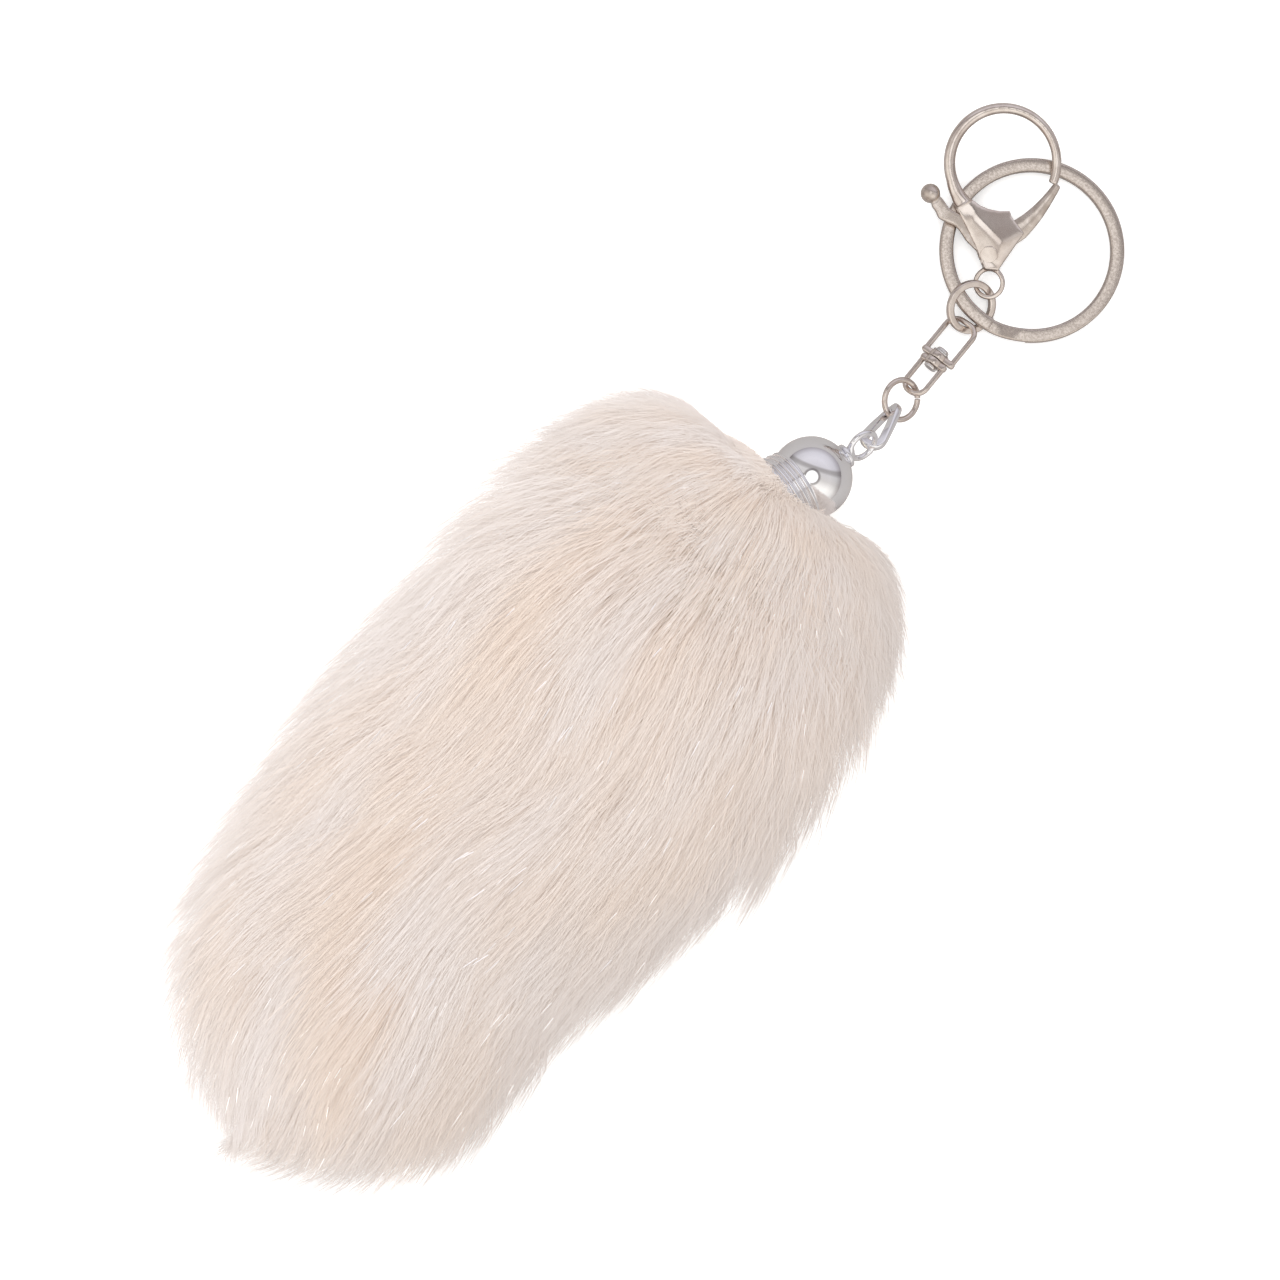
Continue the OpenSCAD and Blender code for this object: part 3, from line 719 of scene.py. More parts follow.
def mantle_lines():
    """Hairs combed back from the cap's mouth over the shoulders. Each follows the mantle's outside at its
    own turn round the tail, from a few millimetres below the surface at its root to just under it at its
    tip."""
    run = np.concatenate([[0], np.cumsum(np.hypot(*np.diff(MANTLE[:, [0, 2]], axis=0).T))])
    turn = rng.random(MANTLE_HAIRS) * TAU
    t = np.linspace(0, 1, STEPS + 1)
    start = 38 * rng.beta(1.15, 1.6, MANTLE_HAIRS)
    at = start[:, None] + rng.uniform(11, 19, MANTLE_HAIRS)[:, None] * t
    y, mid, half, top = (np.interp(at, run, MANTLE[:, k]) for k in range(4))
    deep = np.minimum(6.5, 0.6 + 0.5 * start)[:, None] * (1 - t) ** 1.6
    deep = deep + rng.normal(0.5, 1.2, MANTLE_HAIRS)[:, None] * t ** 1.5
    y = y - 2.4 * np.clip(np.sin(turn), 0, 1)[:, None] ** 2 * np.clip(1.5 - at / 20, 0, 1)
    sway = 0.35 * waves(circle(20, turn, start), 14, 31) + 0.10 * rng.normal(size=MANTLE_HAIRS)
    swing = turn[:, None] + sway[:, None] * t * 6 / (6 + start[:, None])
    low = np.maximum(7.5 - 0.5 * at, 0.5)
    centre = (top + low) / 2
    line = np.stack([mid + (half - deep) * np.cos(swing), y - 0.4 * deep,
                     centre + (top - centre - deep) * np.sin(swing)], -1)
    off_the_table(line)
    ahead = step_up(line[:, 2, 1], 20, 36)
    return line, unit(np.stack([np.cos(turn), 0.9 * ahead, np.sin(turn)], 1))


def drawn_together(line, group, groups, pull, flow, t):
    """The tips of a group move towards their mean, least of all along the flow, each with its own grip."""
    tip = line[:, -1]
    total = np.stack([np.bincount(group, tip[:, k], groups) for k in range(3)], 1)
    mean = total / np.maximum(np.bincount(group, minlength=groups), 1)[:, None]
    shift = mean[group] - tip
    shift -= dot(shift, flow) * flow * 0.85
    grip = (pull * rng.uniform(0.3, 1.3, len(line)))[:, None, None]
    line += shift[:, None] * grip * t ** 1.7


def hair_lines(stray):
    """Hairs as lines of points. Each leaves the backing near its normal and bends into the combed
    direction, so its tip ends at the depth of the pile. Tips draw together in small tufts and in bigger
    locks."""
    root, normal = hair_roots()
    count = len(root)
    up = np.clip(normal[:, 2], 0, 1)
    under = np.clip(-normal[:, 2] * 1.5, 0, 1)
    deep = PILE_SIDE + (PILE_TOP - PILE_SIDE) * up ** 1.3 + (PILE_UNDER - PILE_SIDE) * under
    collar = np.exp(-(np.linalg.norm(root - cap_rim, axis=1) / 11) ** 2)
    deep *= 1 - 0.3 * collar
    lock_c = root[rng.choice(count, LOCKS, replace=False)]
    tuft_c = root[rng.choice(count, TUFTS, replace=False)]
    lock = nearest(root * (1, 0.62, 1), lock_c * (1, 0.62, 1))
    tuft = nearest(root * (1, 0.8, 1), tuft_c * (1, 0.8, 1))
    lock_size = rng.uniform(-1, 1, LOCKS)[lock]
    tuft_size = rng.uniform(-1, 1, TUFTS)[tuft]
    length = rng.beta(5, 1.8, count) * 1.12
    length *= 1 + 0.06 * lock_size + 0.06 * tuft_size
    flow = comb(root, normal)
    side = np.cross(flow, normal)
    swing = 0.11 * rng.uniform(-1, 1, LOCKS)[lock] + 0.07 * rng.uniform(-1, 1, TUFTS)[tuft]
    swing += stray * rng.normal(size=count)
    flow = unit(flow + side * swing[:, None])
    tip_end = step_up(root[:, 1], -70, -95)
    shoulder = step_up(root[:, 1], 2, 20)
    lie = (16.5 - 7 * tip_end - 6 * shoulder) * (1 + 0.10 * lock_size)
    out = deep * np.minimum(length, 1.06) * (1 + 0.06 * rng.normal(size=count)) * (1 - 0.08 * tip_end)
    run = lie * length
    t = np.linspace(0, 1, STEPS + 1)[None, :, None]
    rise = out[:, None, None] * (1 - (1 - t) ** 1.9)
    lean = run[:, None, None] * t ** 1.45
    line = root[:, None] - normal[:, None] * 1.0 + normal[:, None] * rise + flow[:, None] * lean
    drawn_together(line, tuft, TUFTS, TUFT_PULL, flow, t)
    drawn_together(line, lock, LOCKS, LOCK_PULL, flow, t)
    curl = rng.uniform(0, TAU, count)[:, None, None] + t * rng.uniform(2, 5, count)[:, None, None]
    line += side[:, None] * np.sin(curl) * 0.25 * t
    line[..., 2] -= ((1 - up)[:, None, None] * 4.5 * t ** 2)[..., 0]
    settle_on_table(line)
    peach_and_painted_paling = 0.45 + 0.35 * waves(root * (1, 0.28, 1), 8, 11) + 0.3 * waves(root * (1, 0.4, 1), 18, 12)
    # Scaling the peach share by how far the root faces up is painted light: the tail's sides turn paler and
    # cooler, standing in for light through the thin pile at its edges. The slow streaks and the extra peach
    # near the cap are the fur's own colour.
    peach_and_painted_paling = np.clip(peach_and_painted_paling + 0.3 * collar, 0, 1) * np.clip(up * 1.5 - 0.1, 0.08, 1)
    return off_the_cap(line), normal, np.clip(peach_and_painted_paling + 0.12 * rng.normal(size=count), 0, 1)


def settle_on_table(line):
    """What hangs lower than 2 mm over a hair's own small height above the table flattens out on to it."""
    floor = 0.35 + rng.random(len(line))[:, None] * 1.6
    over = line[..., 2] - floor - 2
    line[..., 2] = np.where(over < 0, floor + 2 * np.exp(np.minimum(over / 2, 0)), line[..., 2])


def off_the_cap(line):
    """Hairs that would pass through the cap are pushed out to its wall."""
    rel = line - dome_c
    h = rel @ CAP_AXIS
    radial = rel - h[..., None] * CAP_AXIS
    r = np.linalg.norm(radial, axis=-1)
    wall = np.where(h > 0, np.sqrt(np.clip(DOME_R ** 2 - h ** 2, 0, None)), DOME_R + 0.25)
    wall = np.where((h > -SKIRT_LEN - 1) & (h < DOME_R), wall + 0.15, 0)
    push = np.maximum(wall - r, 0)
    return line + radial / np.maximum(r, 1e-6)[..., None] * push[..., None]


def tubes(line, thick, taper):
    """Closed tubes of three sides along each line: rings at all but the last point, which is the sharp
    tip."""
    count, points, _ = line.shape
    tangent = unit(np.gradient(line, axis=1))
    side = unit(np.cross(tangent, Z + 0 * tangent + 0.01))
    rise = np.cross(tangent, side)
    angle = (np.arange(3) * TAU / 3)[:, None]
    spoke = np.cos(angle) * side[:, :-1, None] + np.sin(angle) * rise[:, :-1, None]
    ring = line[:, :-1, None] + (thick[:, None] * taper[None, :-1])[..., None, None] * spoke
    vertices = np.concatenate([ring.reshape(count, -1, 3), line[:, -1:]], 1)
    spokes = np.concatenate([spoke.reshape(count, -1, 3), tangent[:, -1:]], 1)
    per = vertices.shape[1]
    base = (np.arange(count) * per)[:, None, None]
    k, j = (a.ravel() for a in np.meshgrid(np.arange(points - 2), np.arange(3), indexing="ij"))
    near, beside = k * 3 + j, k * 3 + (j + 1) % 3
    quads = np.stack([near, beside, beside + 3, near + 3], 1)
    last = (points - 2) * 3
    tip = per - 1
    ends = np.array([[last, last + 1, tip], [last + 1, last + 2, tip], [last + 2, last, tip], [2, 1, 0]])
    faces = [(base + quads).reshape(-1, 4), (base + ends).reshape(-1, 3)]
    return vertices.reshape(-1, 3), faces, spokes.reshape(-1, 3), per


def make_fur(finish, tinsel):
    """The pile, in bands along the tail that are one piece each, and the tinsel fibres that are mixed into
    it."""
    line, normal, peach_and_painted_paling = hair_lines(0.11)
    collar, collar_normal = collar_lines()
    mantle, mantle_normal = mantle_lines()
    line = np.concatenate([line, off_the_cap(collar), off_the_cap(mantle)])
    normal = np.concatenate([normal, collar_normal, mantle_normal])
    collar_tone = 0.2 + 0.3 * rng.random(COLLAR_HAIRS)
    # The mantle's peach share is scaled by how far its shading normal points up. This is painted light:
    # paler, cooler sides.
    mantle_peach_and_painted_paling = np.clip(0.4 + 0.5 * waves(mantle[:, 1], 9, 33), 0, 1) * np.clip(mantle_normal[:, 2], 0.1, 1)
    peach_and_painted_paling = np.concatenate([peach_and_painted_paling, collar_tone, mantle_peach_and_painted_paling])
    number = rng.random(len(line))
    thick = rng.uniform(0.05, 0.085, len(line))
    sparkle = rng.choice(HAIRS, TINSELS, replace=False)
    order = np.argsort(line[:, 0, 1])[::-1]
    for k, rows in enumerate(np.array_split(order, FUR_PIECES)):
        points, faces, spokes, per = tubes(line[rows], thick[rows], TAPER)
        hair = np.empty((len(rows), per, 3))
        hair[..., 0] = np.append(np.repeat(np.linspace(0, 1, STEPS + 1)[:-1], 3), 1)
        hair[..., 1] = number[rows][:, None]
        hair[..., 2] = peach_and_painted_paling[rows][:, None]
        piece = new_piece(f"fur_pile_band_{k + 1}", points, faces, finish, "plush", "fur", ("fur_pile",),
                          hair.reshape(-1, 3))
        body = np.repeat(unit(normal[rows] + LIFT * Z), per, 0)
        shading = unit(spokes * (1 - BODY_SHARE) + body * BODY_SHARE)
        piece.data.normals_split_custom_set_from_vertices(shading)
    make_tinsel(line[sparkle], normal[sparkle], tinsel)


def make_tinsel(line, normal, tinsel):
    """Thin strips along the outer part of some hairs, just over the pile."""
    before, end = line[:, 2][:, None], line[:, 3][:, None]
    strip = before + (end - before) * np.linspace(0.6, 1, 4)[:, None]
    taper = np.array([1.0, 1.0, 0.8, 0])
    points, faces, _, _ = tubes(strip + normal[:, None] * 0.8, np.full(TINSELS, 0.07), taper)
    piece = new_piece("tinsel_fibres", points, faces, tinsel, "plush", "fur")
    piece.data.shade_flat()


# ---- Cap

def cap_profile():
    """The cap's wall: from the hole for the shank down over the dome and the stepped, beaded skirt to its
    mouth, and back up the inside. Each bead is a half round that stands on the skirt: its share of the
    skirt's length, its radius and how far it stands out."""
    wall = 0.5
    skirt_r = DOME_R - 0.75
    beads = ((0.45, 0.42, 0.12), (0.62, 0.40, 0.30), (0.79, 0.42, 0.48), (0.93, 0.44, 0.62))
    dome = arc((0, 0), DOME_R, 81, -24, 60)
    skirt = [arc((skirt_r + out, -share * SKIRT_LEN), r, 80, -80, 13) for share, r, out in beads]
    mouth = np.array([[skirt_r + 0.3, -SKIRT_LEN], [skirt_r - wall, -SKIRT_LEN]])
    inside = arc((0, 0), DOME_R - wall, -29, 80, 40)
    return np.concatenate([dome, *skirt, mouth, inside])


def make_cap(chrome):
    set_piece("end_cap", spun(cap_profile()), CAP_TURN, dome_c,
              chrome, "plush", "bright_chrome", ("cap_shell",))


EYELET_R = 2.45                     # to the middle of the wire
EYELET_WIRE = 0.5
EYELET_ROLL = 52                    # degrees from the table's plane
FOOT_R = 2.0
SHANK_R = 0.95


def make_eyelet(chrome):
    """The eyelet's ring stands on a disc with a rounded rim, over a shank that goes through the dome. The
    ring's wire swells where it meets the disc."""
    top = DOME_R + 0.6
    shank_end = DOME_R - 3.3
    rim = 0.25
    profile = np.concatenate([[[0.02, shank_end], [SHANK_R, shank_end], [SHANK_R, DOME_R - rim]],
                              arc((FOOT_R - rim, top - 2 * rim), rim, -60, 0, 5),
                              arc((FOOT_R - rim, top - rim), rim, 0, 90, 7), [[0.02, top + 0.12]]])
    a = np.arange(160) * TAU / 160
    size = 1 + 0.5 * np.exp(-((np.sin(a) + 1) / 0.12) ** 2)
    loop = sweep(circle(EYELET_R, a), Z, round_section(EYELET_WIRE), True, size)
    loop = in_place(loop, turned(0, 0, EYELET_ROLL), Y * (top + EYELET_R + EYELET_WIRE - 0.03))
    set_piece("cap_eyelet_ring", joined(spun(profile, 64), loop), CAP_TURN, dome_c,
              chrome, "plush", "bright_chrome", ("cap_eyelet",))


def make_neck(knit):
    """The gathered sleeve of backing: a tube whose radius ripples in pleats, waisted where the thread pulls
    it in."""
    mouth, root, steps, sides = -1.2, -9.5, 30, 168
    h = np.concatenate([np.linspace(root, mouth, steps), np.linspace(mouth, root, steps)])
    inset = np.repeat([0.15, 1.1], steps)
    waist = 1 - 0.06 * np.exp(-((h + 4.2) / 1.6) ** 2)
    spread = 1 + 0.5 * np.clip(-h - 7.4, 0, 3) ** 1.5 / 3
    points, faces = spun(np.stack([(NECK_R - inset) * waist * spread, h], 1), sides)
    turn = np.repeat(np.arange(sides) * TAU / sides, 2 * steps)
    ripple = 1 + 0.035 * np.sin(14 * turn + 0.6 * np.sin(3 * turn))
    points = points * np.stack([ripple, np.ones_like(ripple), ripple], 1)
    set_piece("gathered_neck", (points, faces), CAP_TURN, dome_c,
              knit, "plush", "knit_backing", ("plush_skin",))


# ---- Links and rings

LINK_HALF = 4.45                    # half the length, to the middle of the wire
LINK_HALF_W = 1.55
LINK_WIRE = 0.7
LINK_TWIST = math.radians(30)       # from the middle to each end


def make_curb_link(chrome):
    """A stadium of round wire, twisted about its length so that its ends lie at an angle to each other. The
    wire is a little thicker at the ends."""
    straight = LINK_HALF - LINK_HALF_W
    run = np.linspace(straight, -straight, 24)[1:-1]
    side = LINK_HALF_W + 0 * run
    flat = np.concatenate([arc((0, straight), LINK_HALF_W, 0, 180, 40), np.stack([-side, run], 1),
                           arc((0, -straight), LINK_HALF_W, 180, 360, 40), np.stack([side, -run], 1)])
    a = LINK_TWIST * flat[:, 1] / LINK_HALF
    path = np.stack([flat[:, 0] * np.cos(a), flat[:, 1], flat[:, 0] * np.sin(a)], 1)
    up = np.stack([-np.sin(a), 0 * a, np.cos(a)], 1)
    size = 1 + 0.06 * (flat[:, 1] / LINK_HALF) ** 2
    shell = sweep(path, up, round_section(LINK_WIRE, flat=0.85), True, size)
    set_piece("curb_chain_link", shell, turned(1.9, -34.8, -47), middle("curb_link"),
              chrome, "curb_link", "bright_chrome", ("curb_link",))


def make_jump_ring(name, node, body, r, wire, cut, flat, turn, finish):
    """Round wire bent nearly full circle, from the cut's place in degrees. Its two sheared ends are
    slightly drawn in. flat is how much of the wire's height is left."""
    ease = np.array([0, 0.25, 0.8])
    a = np.radians(cut + np.concatenate([1.5 + ease, np.linspace(3.5, 356.5, 170), 358.5 - ease[::-1]]))
    size = np.concatenate([[0.8, 0.94, 1], np.ones(170), [1, 0.94, 0.8]])
    shell = sweep(circle(r, a), Z, round_section(wire, flat=flat), False, size)
    set_piece(name, shell, turn, middle(node), finish, body, "pale_nickel", (node,))


SPLIT_R = 13.9
SPLIT_BAND = 2.2
SPLIT_T = 0.84
SPLIT_GAP = 0.1
SPLIT_ROLL = 0.38                   # radius that the wire's corners are rolled to
SPLIT_JOG = 22                      # degrees over which the wire steps up
SPLIT_START = -58                   # degrees from +X to the lower end of the wire


def make_split_ring(finish):
    """Flat wire wound twice: the height follows a smooth step, 3k^2 - 2k^3, over a short jog, so the second
    turn lies on the first. The wire's corners are rolled round."""
    half = (SPLIT_T + SPLIT_GAP) / 2
    turns = 720 - SPLIT_JOG - 2
    a = np.concatenate([[0, 0.3, 1.0], np.linspace(2, turns - 2, 560), [turns - 1.0, turns - 0.3, turns]])
    k = np.clip((a - 360 + SPLIT_JOG) / SPLIT_JOG, 0, 1)
    rise = half * (2 * k * k * (3 - 2 * k) - 1)
    path = circle(SPLIT_R, np.radians(a + SPLIT_START), rise)
    section = rounded_block(SPLIT_BAND / 2 - SPLIT_ROLL, SPLIT_T / 2 - SPLIT_ROLL, SPLIT_ROLL, 6)
    size = np.concatenate([[0.8, 0.93, 1], np.ones(560), [1, 0.93, 0.8]])
    shell = sweep(path, Z, section, False, size)
    set_piece("split_key_ring", shell, turned(0, -2.8), joint_place("split_ring_spin"),
              finish, "split_ring", "pale_nickel", ("split_ring",))


# ---- Swivel

SWIVEL_NOSE = (-2.6, -6.7)
LOOP_WIRE = 0.45
BAR_NEAR = 0.05                     # mm from the joint's middle to each bar
BAR_T = 1.1
BOSS_R = 1.35
BORE_R = 0.68
RIVET_R = 0.62


def loop_shell(w, h, corner):
    """A loop of round wire on its base bar, w to each leg's middle and h to the top. The wire goes up one
    leg, round two corners and down the other leg. The bar is a rounded block, with a boss round the rivet's
    hole."""
    foot = BAR_NEAR + BAR_T / 2
    leg = np.linspace(foot, h - corner, 20)
    right = np.stack([w + 0 * leg, leg], 1)
    over = np.concatenate([right, arc((w - corner, h - corner), corner, 0, 90, 22)[1:],
                           arc((corner - w, h - corner), corner, 90, 180, 22), (right * (-1, 1))[::-1][1:]])
    wire = sweep(np.column_stack([over, np.zeros(len(over))]), Z, round_section(LOOP_WIRE), False)
    end = np.radians(np.linspace(0, 90, 10))
    ends = w + 0.6 * np.sin(end)
    x = np.concatenate([-ends[::-1], np.linspace(-w, w, 12)[1:-1], ends])
    size = np.maximum(np.concatenate([np.cos(end)[::-1], np.ones(10), np.cos(end)]), 0.05)
    bar_path = np.stack([x, 0 * x + foot, 0 * x], 1)
    block = rounded_block(0.33, 0.37, 0.2, 5) * (1.0, 1.05)
    bar = sweep(bar_path, Z, block, False, size)
    low, high = BAR_NEAR, BAR_NEAR + BAR_T
    boss = np.concatenate([[[BORE_R, low], [BOSS_R, low]], arc((BOSS_R, low + 0.2), 0.2, -90, 0, 5),
                           arc((BOSS_R, high - 0.2), 0.2, 0, 90, 5), [[BORE_R, high]]])
    return joined(wire, bar, spun(boss, 64))


def make_swivel(nickel, steel):
    """Two loops face to face on one rivet, each rolled about it by its own angle."""
    at = joint_place("swivel_spin")
    upper = turned(*SWIVEL_NOSE, -25)
    lower = turned(*SWIVEL_NOSE, -30) @ turned(180)
    far = BAR_NEAR + BAR_T
    head = far + 0.35
    rivet = np.concatenate([[[0.001, -far - 0.65]], arc((0.85, -far - 0.4), 0.25, -90, 0, 6),
                            [[1.1, -far - 0.06], [RIVET_R, -far - 0.05], [RIVET_R, head], [1.1, head]],
                            arc((0.75, head + 0.25), 0.35, 0, 80, 8), [[0.001, head + 0.68]]])
    washer = np.concatenate([[[0.64, far + 0.03]], arc((1.35, far + 0.13), 0.1, -90, 0, 4),
                             arc((1.35, far + 0.23), 0.1, 0, 90, 4), [[0.64, far + 0.33]]])
    set_piece("swivel_barrel_loop", loop_shell(2.05, 6.65, 1.75), lower, at,
              nickel, "swivel_lower", "pale_nickel", ("swivel_lower_loop",))
    set_piece("swivel_stirrup_loop", loop_shell(2.72, 7.9, 2.0), upper, at,
              nickel, "swivel_upper", "pale_nickel", ("swivel_upper_loop",))
    for name, profile, node in (("swivel_rivet_pin", rivet, "swivel_rivet"),
                                ("swivel_washer_disc", washer, "swivel_washer")):
        set_piece(name, spun(profile, 64), upper, at, steel, "swivel_upper", "rivet_steel", (node,))


# ---- Clasp

CLASP_TURN = turned(30.5, 4.8, 4.6)
PIVOT = np.array([-0.5, 4.6, 0])
clasp_at = joint_place("trigger_pull") - CLASP_TURN @ PIVOT
HOOK_REACH = 19.5                   # from the eye to the middle of the hook's circle
HOOK_R = 8.75
HOOK_WIRE = 0.95
SLOT = 0.75                         # half the width of the lever's slot
HALF_T = 1.35                       # half the body's thickness in the CAD
PEAK = 2.2                          # height at which the facets meet

# Stations of the body's edges: place along it, the edge, and how far the left one swells
LEFT_EDGE = np.array([(2.2, -1.1, 0), (5.6, -1.9, -1.1), (8.8, -3.5, -1.5), (11.5, -5.4, -1.3),
                      (12.9, -7.1, -0.6), (14, -8.0, -0.3), (15.5, -8.8, 0)])
RIGHT_EDGE = np.array([(2.2, 1.1), (4.4, 2.3), (8.6, 4.6), (11.05, 2.2), (11.7, 0), (12.9, -4.2), (14, -5.5),
                       (15.5, -6.7)])


def facet(p, a, b, edge, reach):
    """Height of a sloping facet: edge at the line from a to b, and PEAK at reach from it, on the line's
    left."""
    along = unit(np.array(b, float) - np.array(a))
    off = (p[:, 0] - a[0]) * -along[1] + (p[:, 1] - a[1]) * along[0]
    return edge + (PEAK - edge) * off / reach


def facet_height(p):
    """Height of the body's top: the smooth minimum, -k log of the sum of exp(-h / k), of three facets that
    meet in a peak, one along the thumb side, one on the short arm and one towards the hook's opening."""
    k = 0.13
    heights = np.stack([facet(p, (-1.5, 2.3), (-8.1, 12.75), 0.9, -4.4),
                        facet(p, (1.1, 2.3), (4.6, 8.6), 1.3, 2.2),
                        facet(p, (2.25, 11.05), (-4.1, 13.0), 1.0, 4.75)])
    top = np.clip(-k * np.log(np.exp(-heights / k).sum(0)), 0.85, PEAK)
    return np.where(p[:, 2] < 0, np.minimum(top, HALF_T), top)


def scaled_height(p, half, top, share):
    """Each height above the slot is scaled so that the half thickness there becomes top, as far as
    share."""
    z = np.abs(p[:, 2])
    wanted = SLOT + (z - SLOT) * (top - SLOT) / (half - SLOT)
    return np.where(z > SLOT, np.sign(p[:, 2]) * (z + (wanted - z) * share), p[:, 2])


def hook_place(p):
    """Distance outside the hook's circle, and angle round it in degrees from 0 to 360."""
    x, y = p[:, 0], p[:, 1] - HOOK_REACH
    return np.hypot(x, y) - HOOK_R, np.degrees(np.arctan2(y, x)) % 360


def round_height(off, r):
    """Height of a wire of radius r at a distance from its middle line, and never less than 0.8."""
    return np.sqrt(np.clip(r ** 2 - off ** 2, 0.8 ** 2, None))


def shape_pin(p):
    """The pin's heads are spread wide and lie flush on the body's facets."""
    head = step_up(np.abs(p[:, 2]), 1.2, 1.3)[:, None]
    p += head * ((p - PIVOT) * 0.45 - 0.25 * X) * (1, 1, 0)
    p[:, 2] = scaled_height(p, HALF_T + 0.1, facet_height(p), 1.0)
    return p


def shape_body(p):
    """The cast body's left side swells out to one straight line from the eye to the hook's arm. Its top
    becomes three facets that meet in a peak, and it is round where it runs into the arm."""
    off, angle = hook_place(p)
    on_wire = step_up(np.hypot(off, p[:, 2]), HALF_T - 0.04, HALF_T - 0.16) * step_up(angle, 262, 252)
    half = HALF_T + (round_height(off, HOOK_WIRE) - HALF_T) * on_wire
    left, swell = (np.interp(p[:, 1], LEFT_EDGE[:, 0], LEFT_EDGE[:, k]) for k in (1, 2))
    right = np.interp(p[:, 1], *RIGHT_EDGE.T)
    p[:, 0] += swell * np.clip((right - p[:, 0]) / (right - left), 0, 1.1)
    off, angle = hook_place(p)
    arm = round_height(off / 1.2, 1.05)
    top = arm + (facet_height(p) - arm) * step_up(angle, 222, 248)
    share = step_up(p[:, 1], 2.2, 3.7) * step_up(p[:, 1], 14.2, 13.0) * (off > -HOOK_WIRE - 0.25)
    p[:, 2] = scaled_height(p, half, top, share)
    return shape_hook(p)


def shape_hook(p):
    """The hook's wire thins towards its free end, which reaches a little further."""
    rel = p - HOOK_REACH * Y
    r = np.hypot(rel[:, 0], rel[:, 1])
    angle = np.degrees(np.arctan2(rel[:, 1], rel[:, 0]))
    wire = (np.hypot(r - HOOK_R, rel[:, 2]) < 1.35 * HOOK_WIRE) & (angle > -20) & (angle < 181)
    thin = np.where(wire, 0.80 + 0.20 * step_up(angle, 20, 140), 1)
    core = rel * (1, 1, 0) * (HOOK_R / r)[:, None]
    rel = np.where(wire[:, None], core + (rel - core) * thin[:, None], rel)
    bend = np.radians(-3.0 * (step_up(angle, 20, -13) * wire) ** 2)
    c, s = np.cos(bend), np.sin(bend)
    return np.stack([rel[:, 0] * c - rel[:, 1] * s, rel[:, 0] * s + rel[:, 1] * c + HOOK_REACH, rel[:, 2]], 1)


GATE_ALONG = np.array([0.619, 0.786, 0])
GATE_ACROSS = np.array([0.786, -0.619, 0])
NECK_START = np.array([-4.6, 9.0, 0])
KNOB = np.array([-11.2, 13.3, 0])


def shape_trigger(p):
    """The gate bows outwards by a half sine, narrows to its tip and is crowned across, and reaches the
    hook's end. The thumb lever's neck is widened below the knob, and its strip stands further out beside
    the body."""
    run, off = (p - PIVOT) @ GATE_ALONG, (p - PIVOT) @ GATE_ACROSS
    share = step_up(run, 3, 15.3)
    edge = np.clip(np.abs(off) / (1.7 - 0.8 * share), 0, 1)
    bent = (PIVOT + (run + 0.45 * step_up(run, 8, 15))[:, None] * GATE_ALONG
            + (off * (1.2 - 0.45 * share) + 0.8 * np.sin(math.pi * share))[:, None] * GATE_ACROSS
            + (p[:, 2] * (1.15 - 0.55 * edge ** 2))[:, None] * Z)
    p = np.where((run > 3)[:, None], bent, p)
    neck = KNOB - NECK_START
    run = (p - NECK_START) @ neck / (neck @ neck)
    core = NECK_START + np.clip(run, 0, 1)[:, None] * neck
    wide = 1 + 0.32 * step_up(run, 0, 0.4) * np.clip((1.3 - run) * 3, 0, 1)
    on_neck = (run > 0) & (np.linalg.norm(p - KNOB, axis=1) > 1.75) & (p[:, 0] < -3)
    p = np.where(on_neck[:, None], core + (p - core) * wide[:, None], p)
    p[:, 0] -= 0.5 * step_up(p[:, 0], -0.8, -2.3) * step_up(p[:, 1], 10.5, 9.0)
    return p


def make_clasp(cast, nickel):
    """Body, lever and pin: their finish, body, slot, voxel, rounds of easing and shape."""
    for node, name, *made, reshape in (
            ("clasp_body", "lobster_clasp_body", nickel, "clasp", "cast_nickel", 0.11, 3, shape_body),
            ("clasp_trigger", "lobster_clasp_lever", cast, "trigger", "cast_nickel", 0.1, 4, shape_trigger),
            ("clasp_pivot_pin", "lobster_clasp_pin", nickel, "clasp", "pale_nickel", 0.06, 2, shape_pin)):
        cast_copy(node, name, *made, CLASP_TURN, clasp_at, reshape)


# ---- Soft inside

SWELL_FRAMES = 20
PRESSURE = 4


def loft_grid(inset, sections=70, sides=96):
    """The backing's loft as a closed grid: one point at each end and rings of points between."""
    share = np.repeat(np.linspace(0.02, 0.98, sections), sides)
    turn = np.tile(np.arange(sides) * TAU / sides, sections)
    rings = backing_point(share, turn, inset)
    ends = np.stack([rings[:sides].mean(0), rings[-sides:].mean(0)])
    j = np.arange(sides)
    beside = (j + 1) % sides
    last = (sections - 1) * sides
    first = np.stack([np.full(sides, len(rings)), beside, j], 1)
    final = np.stack([np.full(sides, len(rings) + 1), last + j, last + beside], 1)
    return np.concatenate([rings, ends]), [ring_faces(sections, sides, False), first, final]


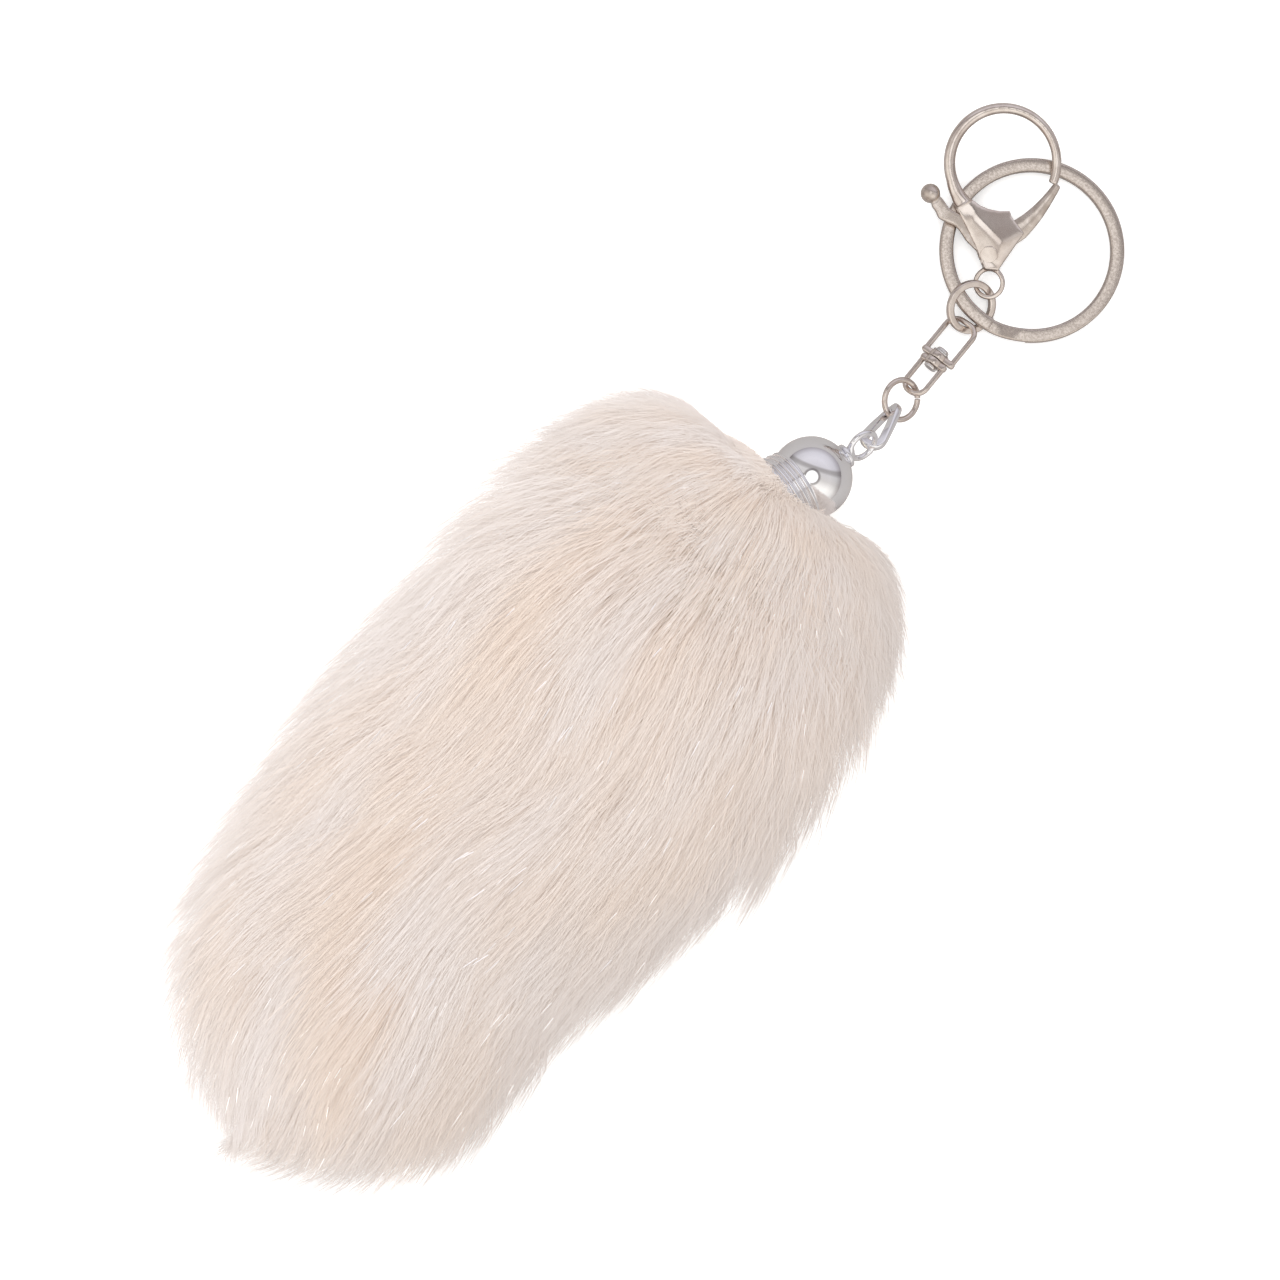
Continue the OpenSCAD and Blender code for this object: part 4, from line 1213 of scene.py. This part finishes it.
def inflate(piece, voxel, most):
    """Cloth under pressure: the closed form is rebuilt in even faces, swells for 20 frames with gravity
    off, and no point moves further than most, in millimetres. Nothing of the simulation stays on the
    piece."""
    remesh = piece.modifiers.new("even", "REMESH")
    remesh.mode = "VOXEL"
    remesh.voxel_size = voxel * MM
    graph = bpy.context.evaluated_depsgraph_get()
    even = bpy.data.meshes.new_from_object(piece.evaluated_get(graph))
    piece.modifiers.clear()
    piece.data = even
    start = read_all(even.vertices, "co", 3)
    cloth = piece.modifiers.new("cloth", "CLOTH")
    cloth.settings.use_pressure = True
    cloth.settings.uniform_pressure_force = PRESSURE
    cloth.settings.effector_weights.gravity = 0
    for step in range(1, SWELL_FRAMES + 1):
        bpy.context.scene.frame_set(step)
    moved = piece.evaluated_get(bpy.context.evaluated_depsgraph_get()).to_mesh()
    shift = read_all(moved.vertices, "co", 3) - start
    far = np.linalg.norm(shift, axis=1, keepdims=True)
    shift *= np.minimum(1, most * MM / np.maximum(far, 1e-9))
    even.vertices.foreach_set("co", (start + shift).ravel())
    piece.modifiers.clear()
    bpy.context.scene.frame_set(1)
    even.update()
    even.shade_smooth()


def make_soft_inside(knit, fibre):
    """The backing bag, swollen by its filling, and the filling itself, a lumpy form inside it."""
    points, faces = loft_grid(1.6)
    backing = new_piece("knit_backing_bag", points, faces, knit, "plush", "knit_backing", ("plush_skin",))
    inflate(backing, 4.5, 1.4)
    points, faces = loft_grid(4.2)
    lump = unit(points - points.mean(0)) * (waves(points, 9, 21) * 0.5 + waves(points, 22, 22) * 0.6)[:, None]
    filling = new_piece("fibre_filling", points + lump, faces, fibre, "plush", "fibre_fill", ("stuffing",))


def finish_nodes(**finishes):
    """Gives each CAD node that stays its finish."""
    for node, finish in finishes.items():
        for slot in frame["nodes"][node].material_slots:
            slot.material = finish


chrome = metal_finish("bright_chrome", (0.86, 0.86, 0.89), (0.93, 0.93, 0.95), 0.05, 1500, 0.002, 120)
nickel = metal_finish("champagne_nickel", (0.66, 0.58, 0.53), (0.80, 0.73, 0.68), 0.15, 3800, 0.006, 420)
satin = metal_finish("satin_champagne_nickel", (0.54, 0.475, 0.43), (0.66, 0.59, 0.54), 0.20, 5200, 0.014,
                     2600)
cast = metal_finish("cast_champagne_nickel", (0.52, 0.45, 0.40), (0.72, 0.65, 0.60), 0.26, 4200, 0.016, 700)
steel = metal_finish("rivet_steel", (0.72, 0.71, 0.71), (0.84, 0.83, 0.83), 0.16, 3500, 0.008, 300)
spring = metal_finish("spring_steel", (0.45, 0.45, 0.47), (0.6, 0.6, 0.62), 0.3)
knit = soft_finish("knit_backing", (0.72, 0.63, 0.52), (0.86, 0.79, 0.70), 1400, 0.9, 0.15)
fibre = soft_finish("polyester_fibre", (0.80, 0.80, 0.79), (0.93, 0.93, 0.92), 700, 0.95, 0.4)
thread = soft_finish("cotton_thread", (0.70, 0.63, 0.54), (0.84, 0.78, 0.70), 5000, 0.8, 0.06)
glue = soft_finish("set_glue", (0.72, 0.68, 0.55), (0.80, 0.77, 0.66), 300, 0.35, 0.05)

make_fur(fur_finish(), tinsel_finish())
make_soft_inside(knit, fibre)
make_neck(knit)
make_cap(chrome)
make_eyelet(chrome)
make_curb_link(chrome)
make_jump_ring("lower_wire_ring", "lower_jump_ring", "lower_ring", 3.22, 0.475, 46, 1.0,
               turned(-2.8, -14, 30), nickel)
make_jump_ring("upper_wire_ring", "upper_jump_ring", "upper_ring", 3.87, 0.6, -38, 0.86,
               turned(0, -1.7, 31), nickel)
make_split_ring(satin)
make_swivel(nickel, steel)
make_clasp(cast, nickel)
finish_nodes(back_seam_thread=thread, neck_gather_thread=thread, glue_plug=glue, clasp_spring=spring)
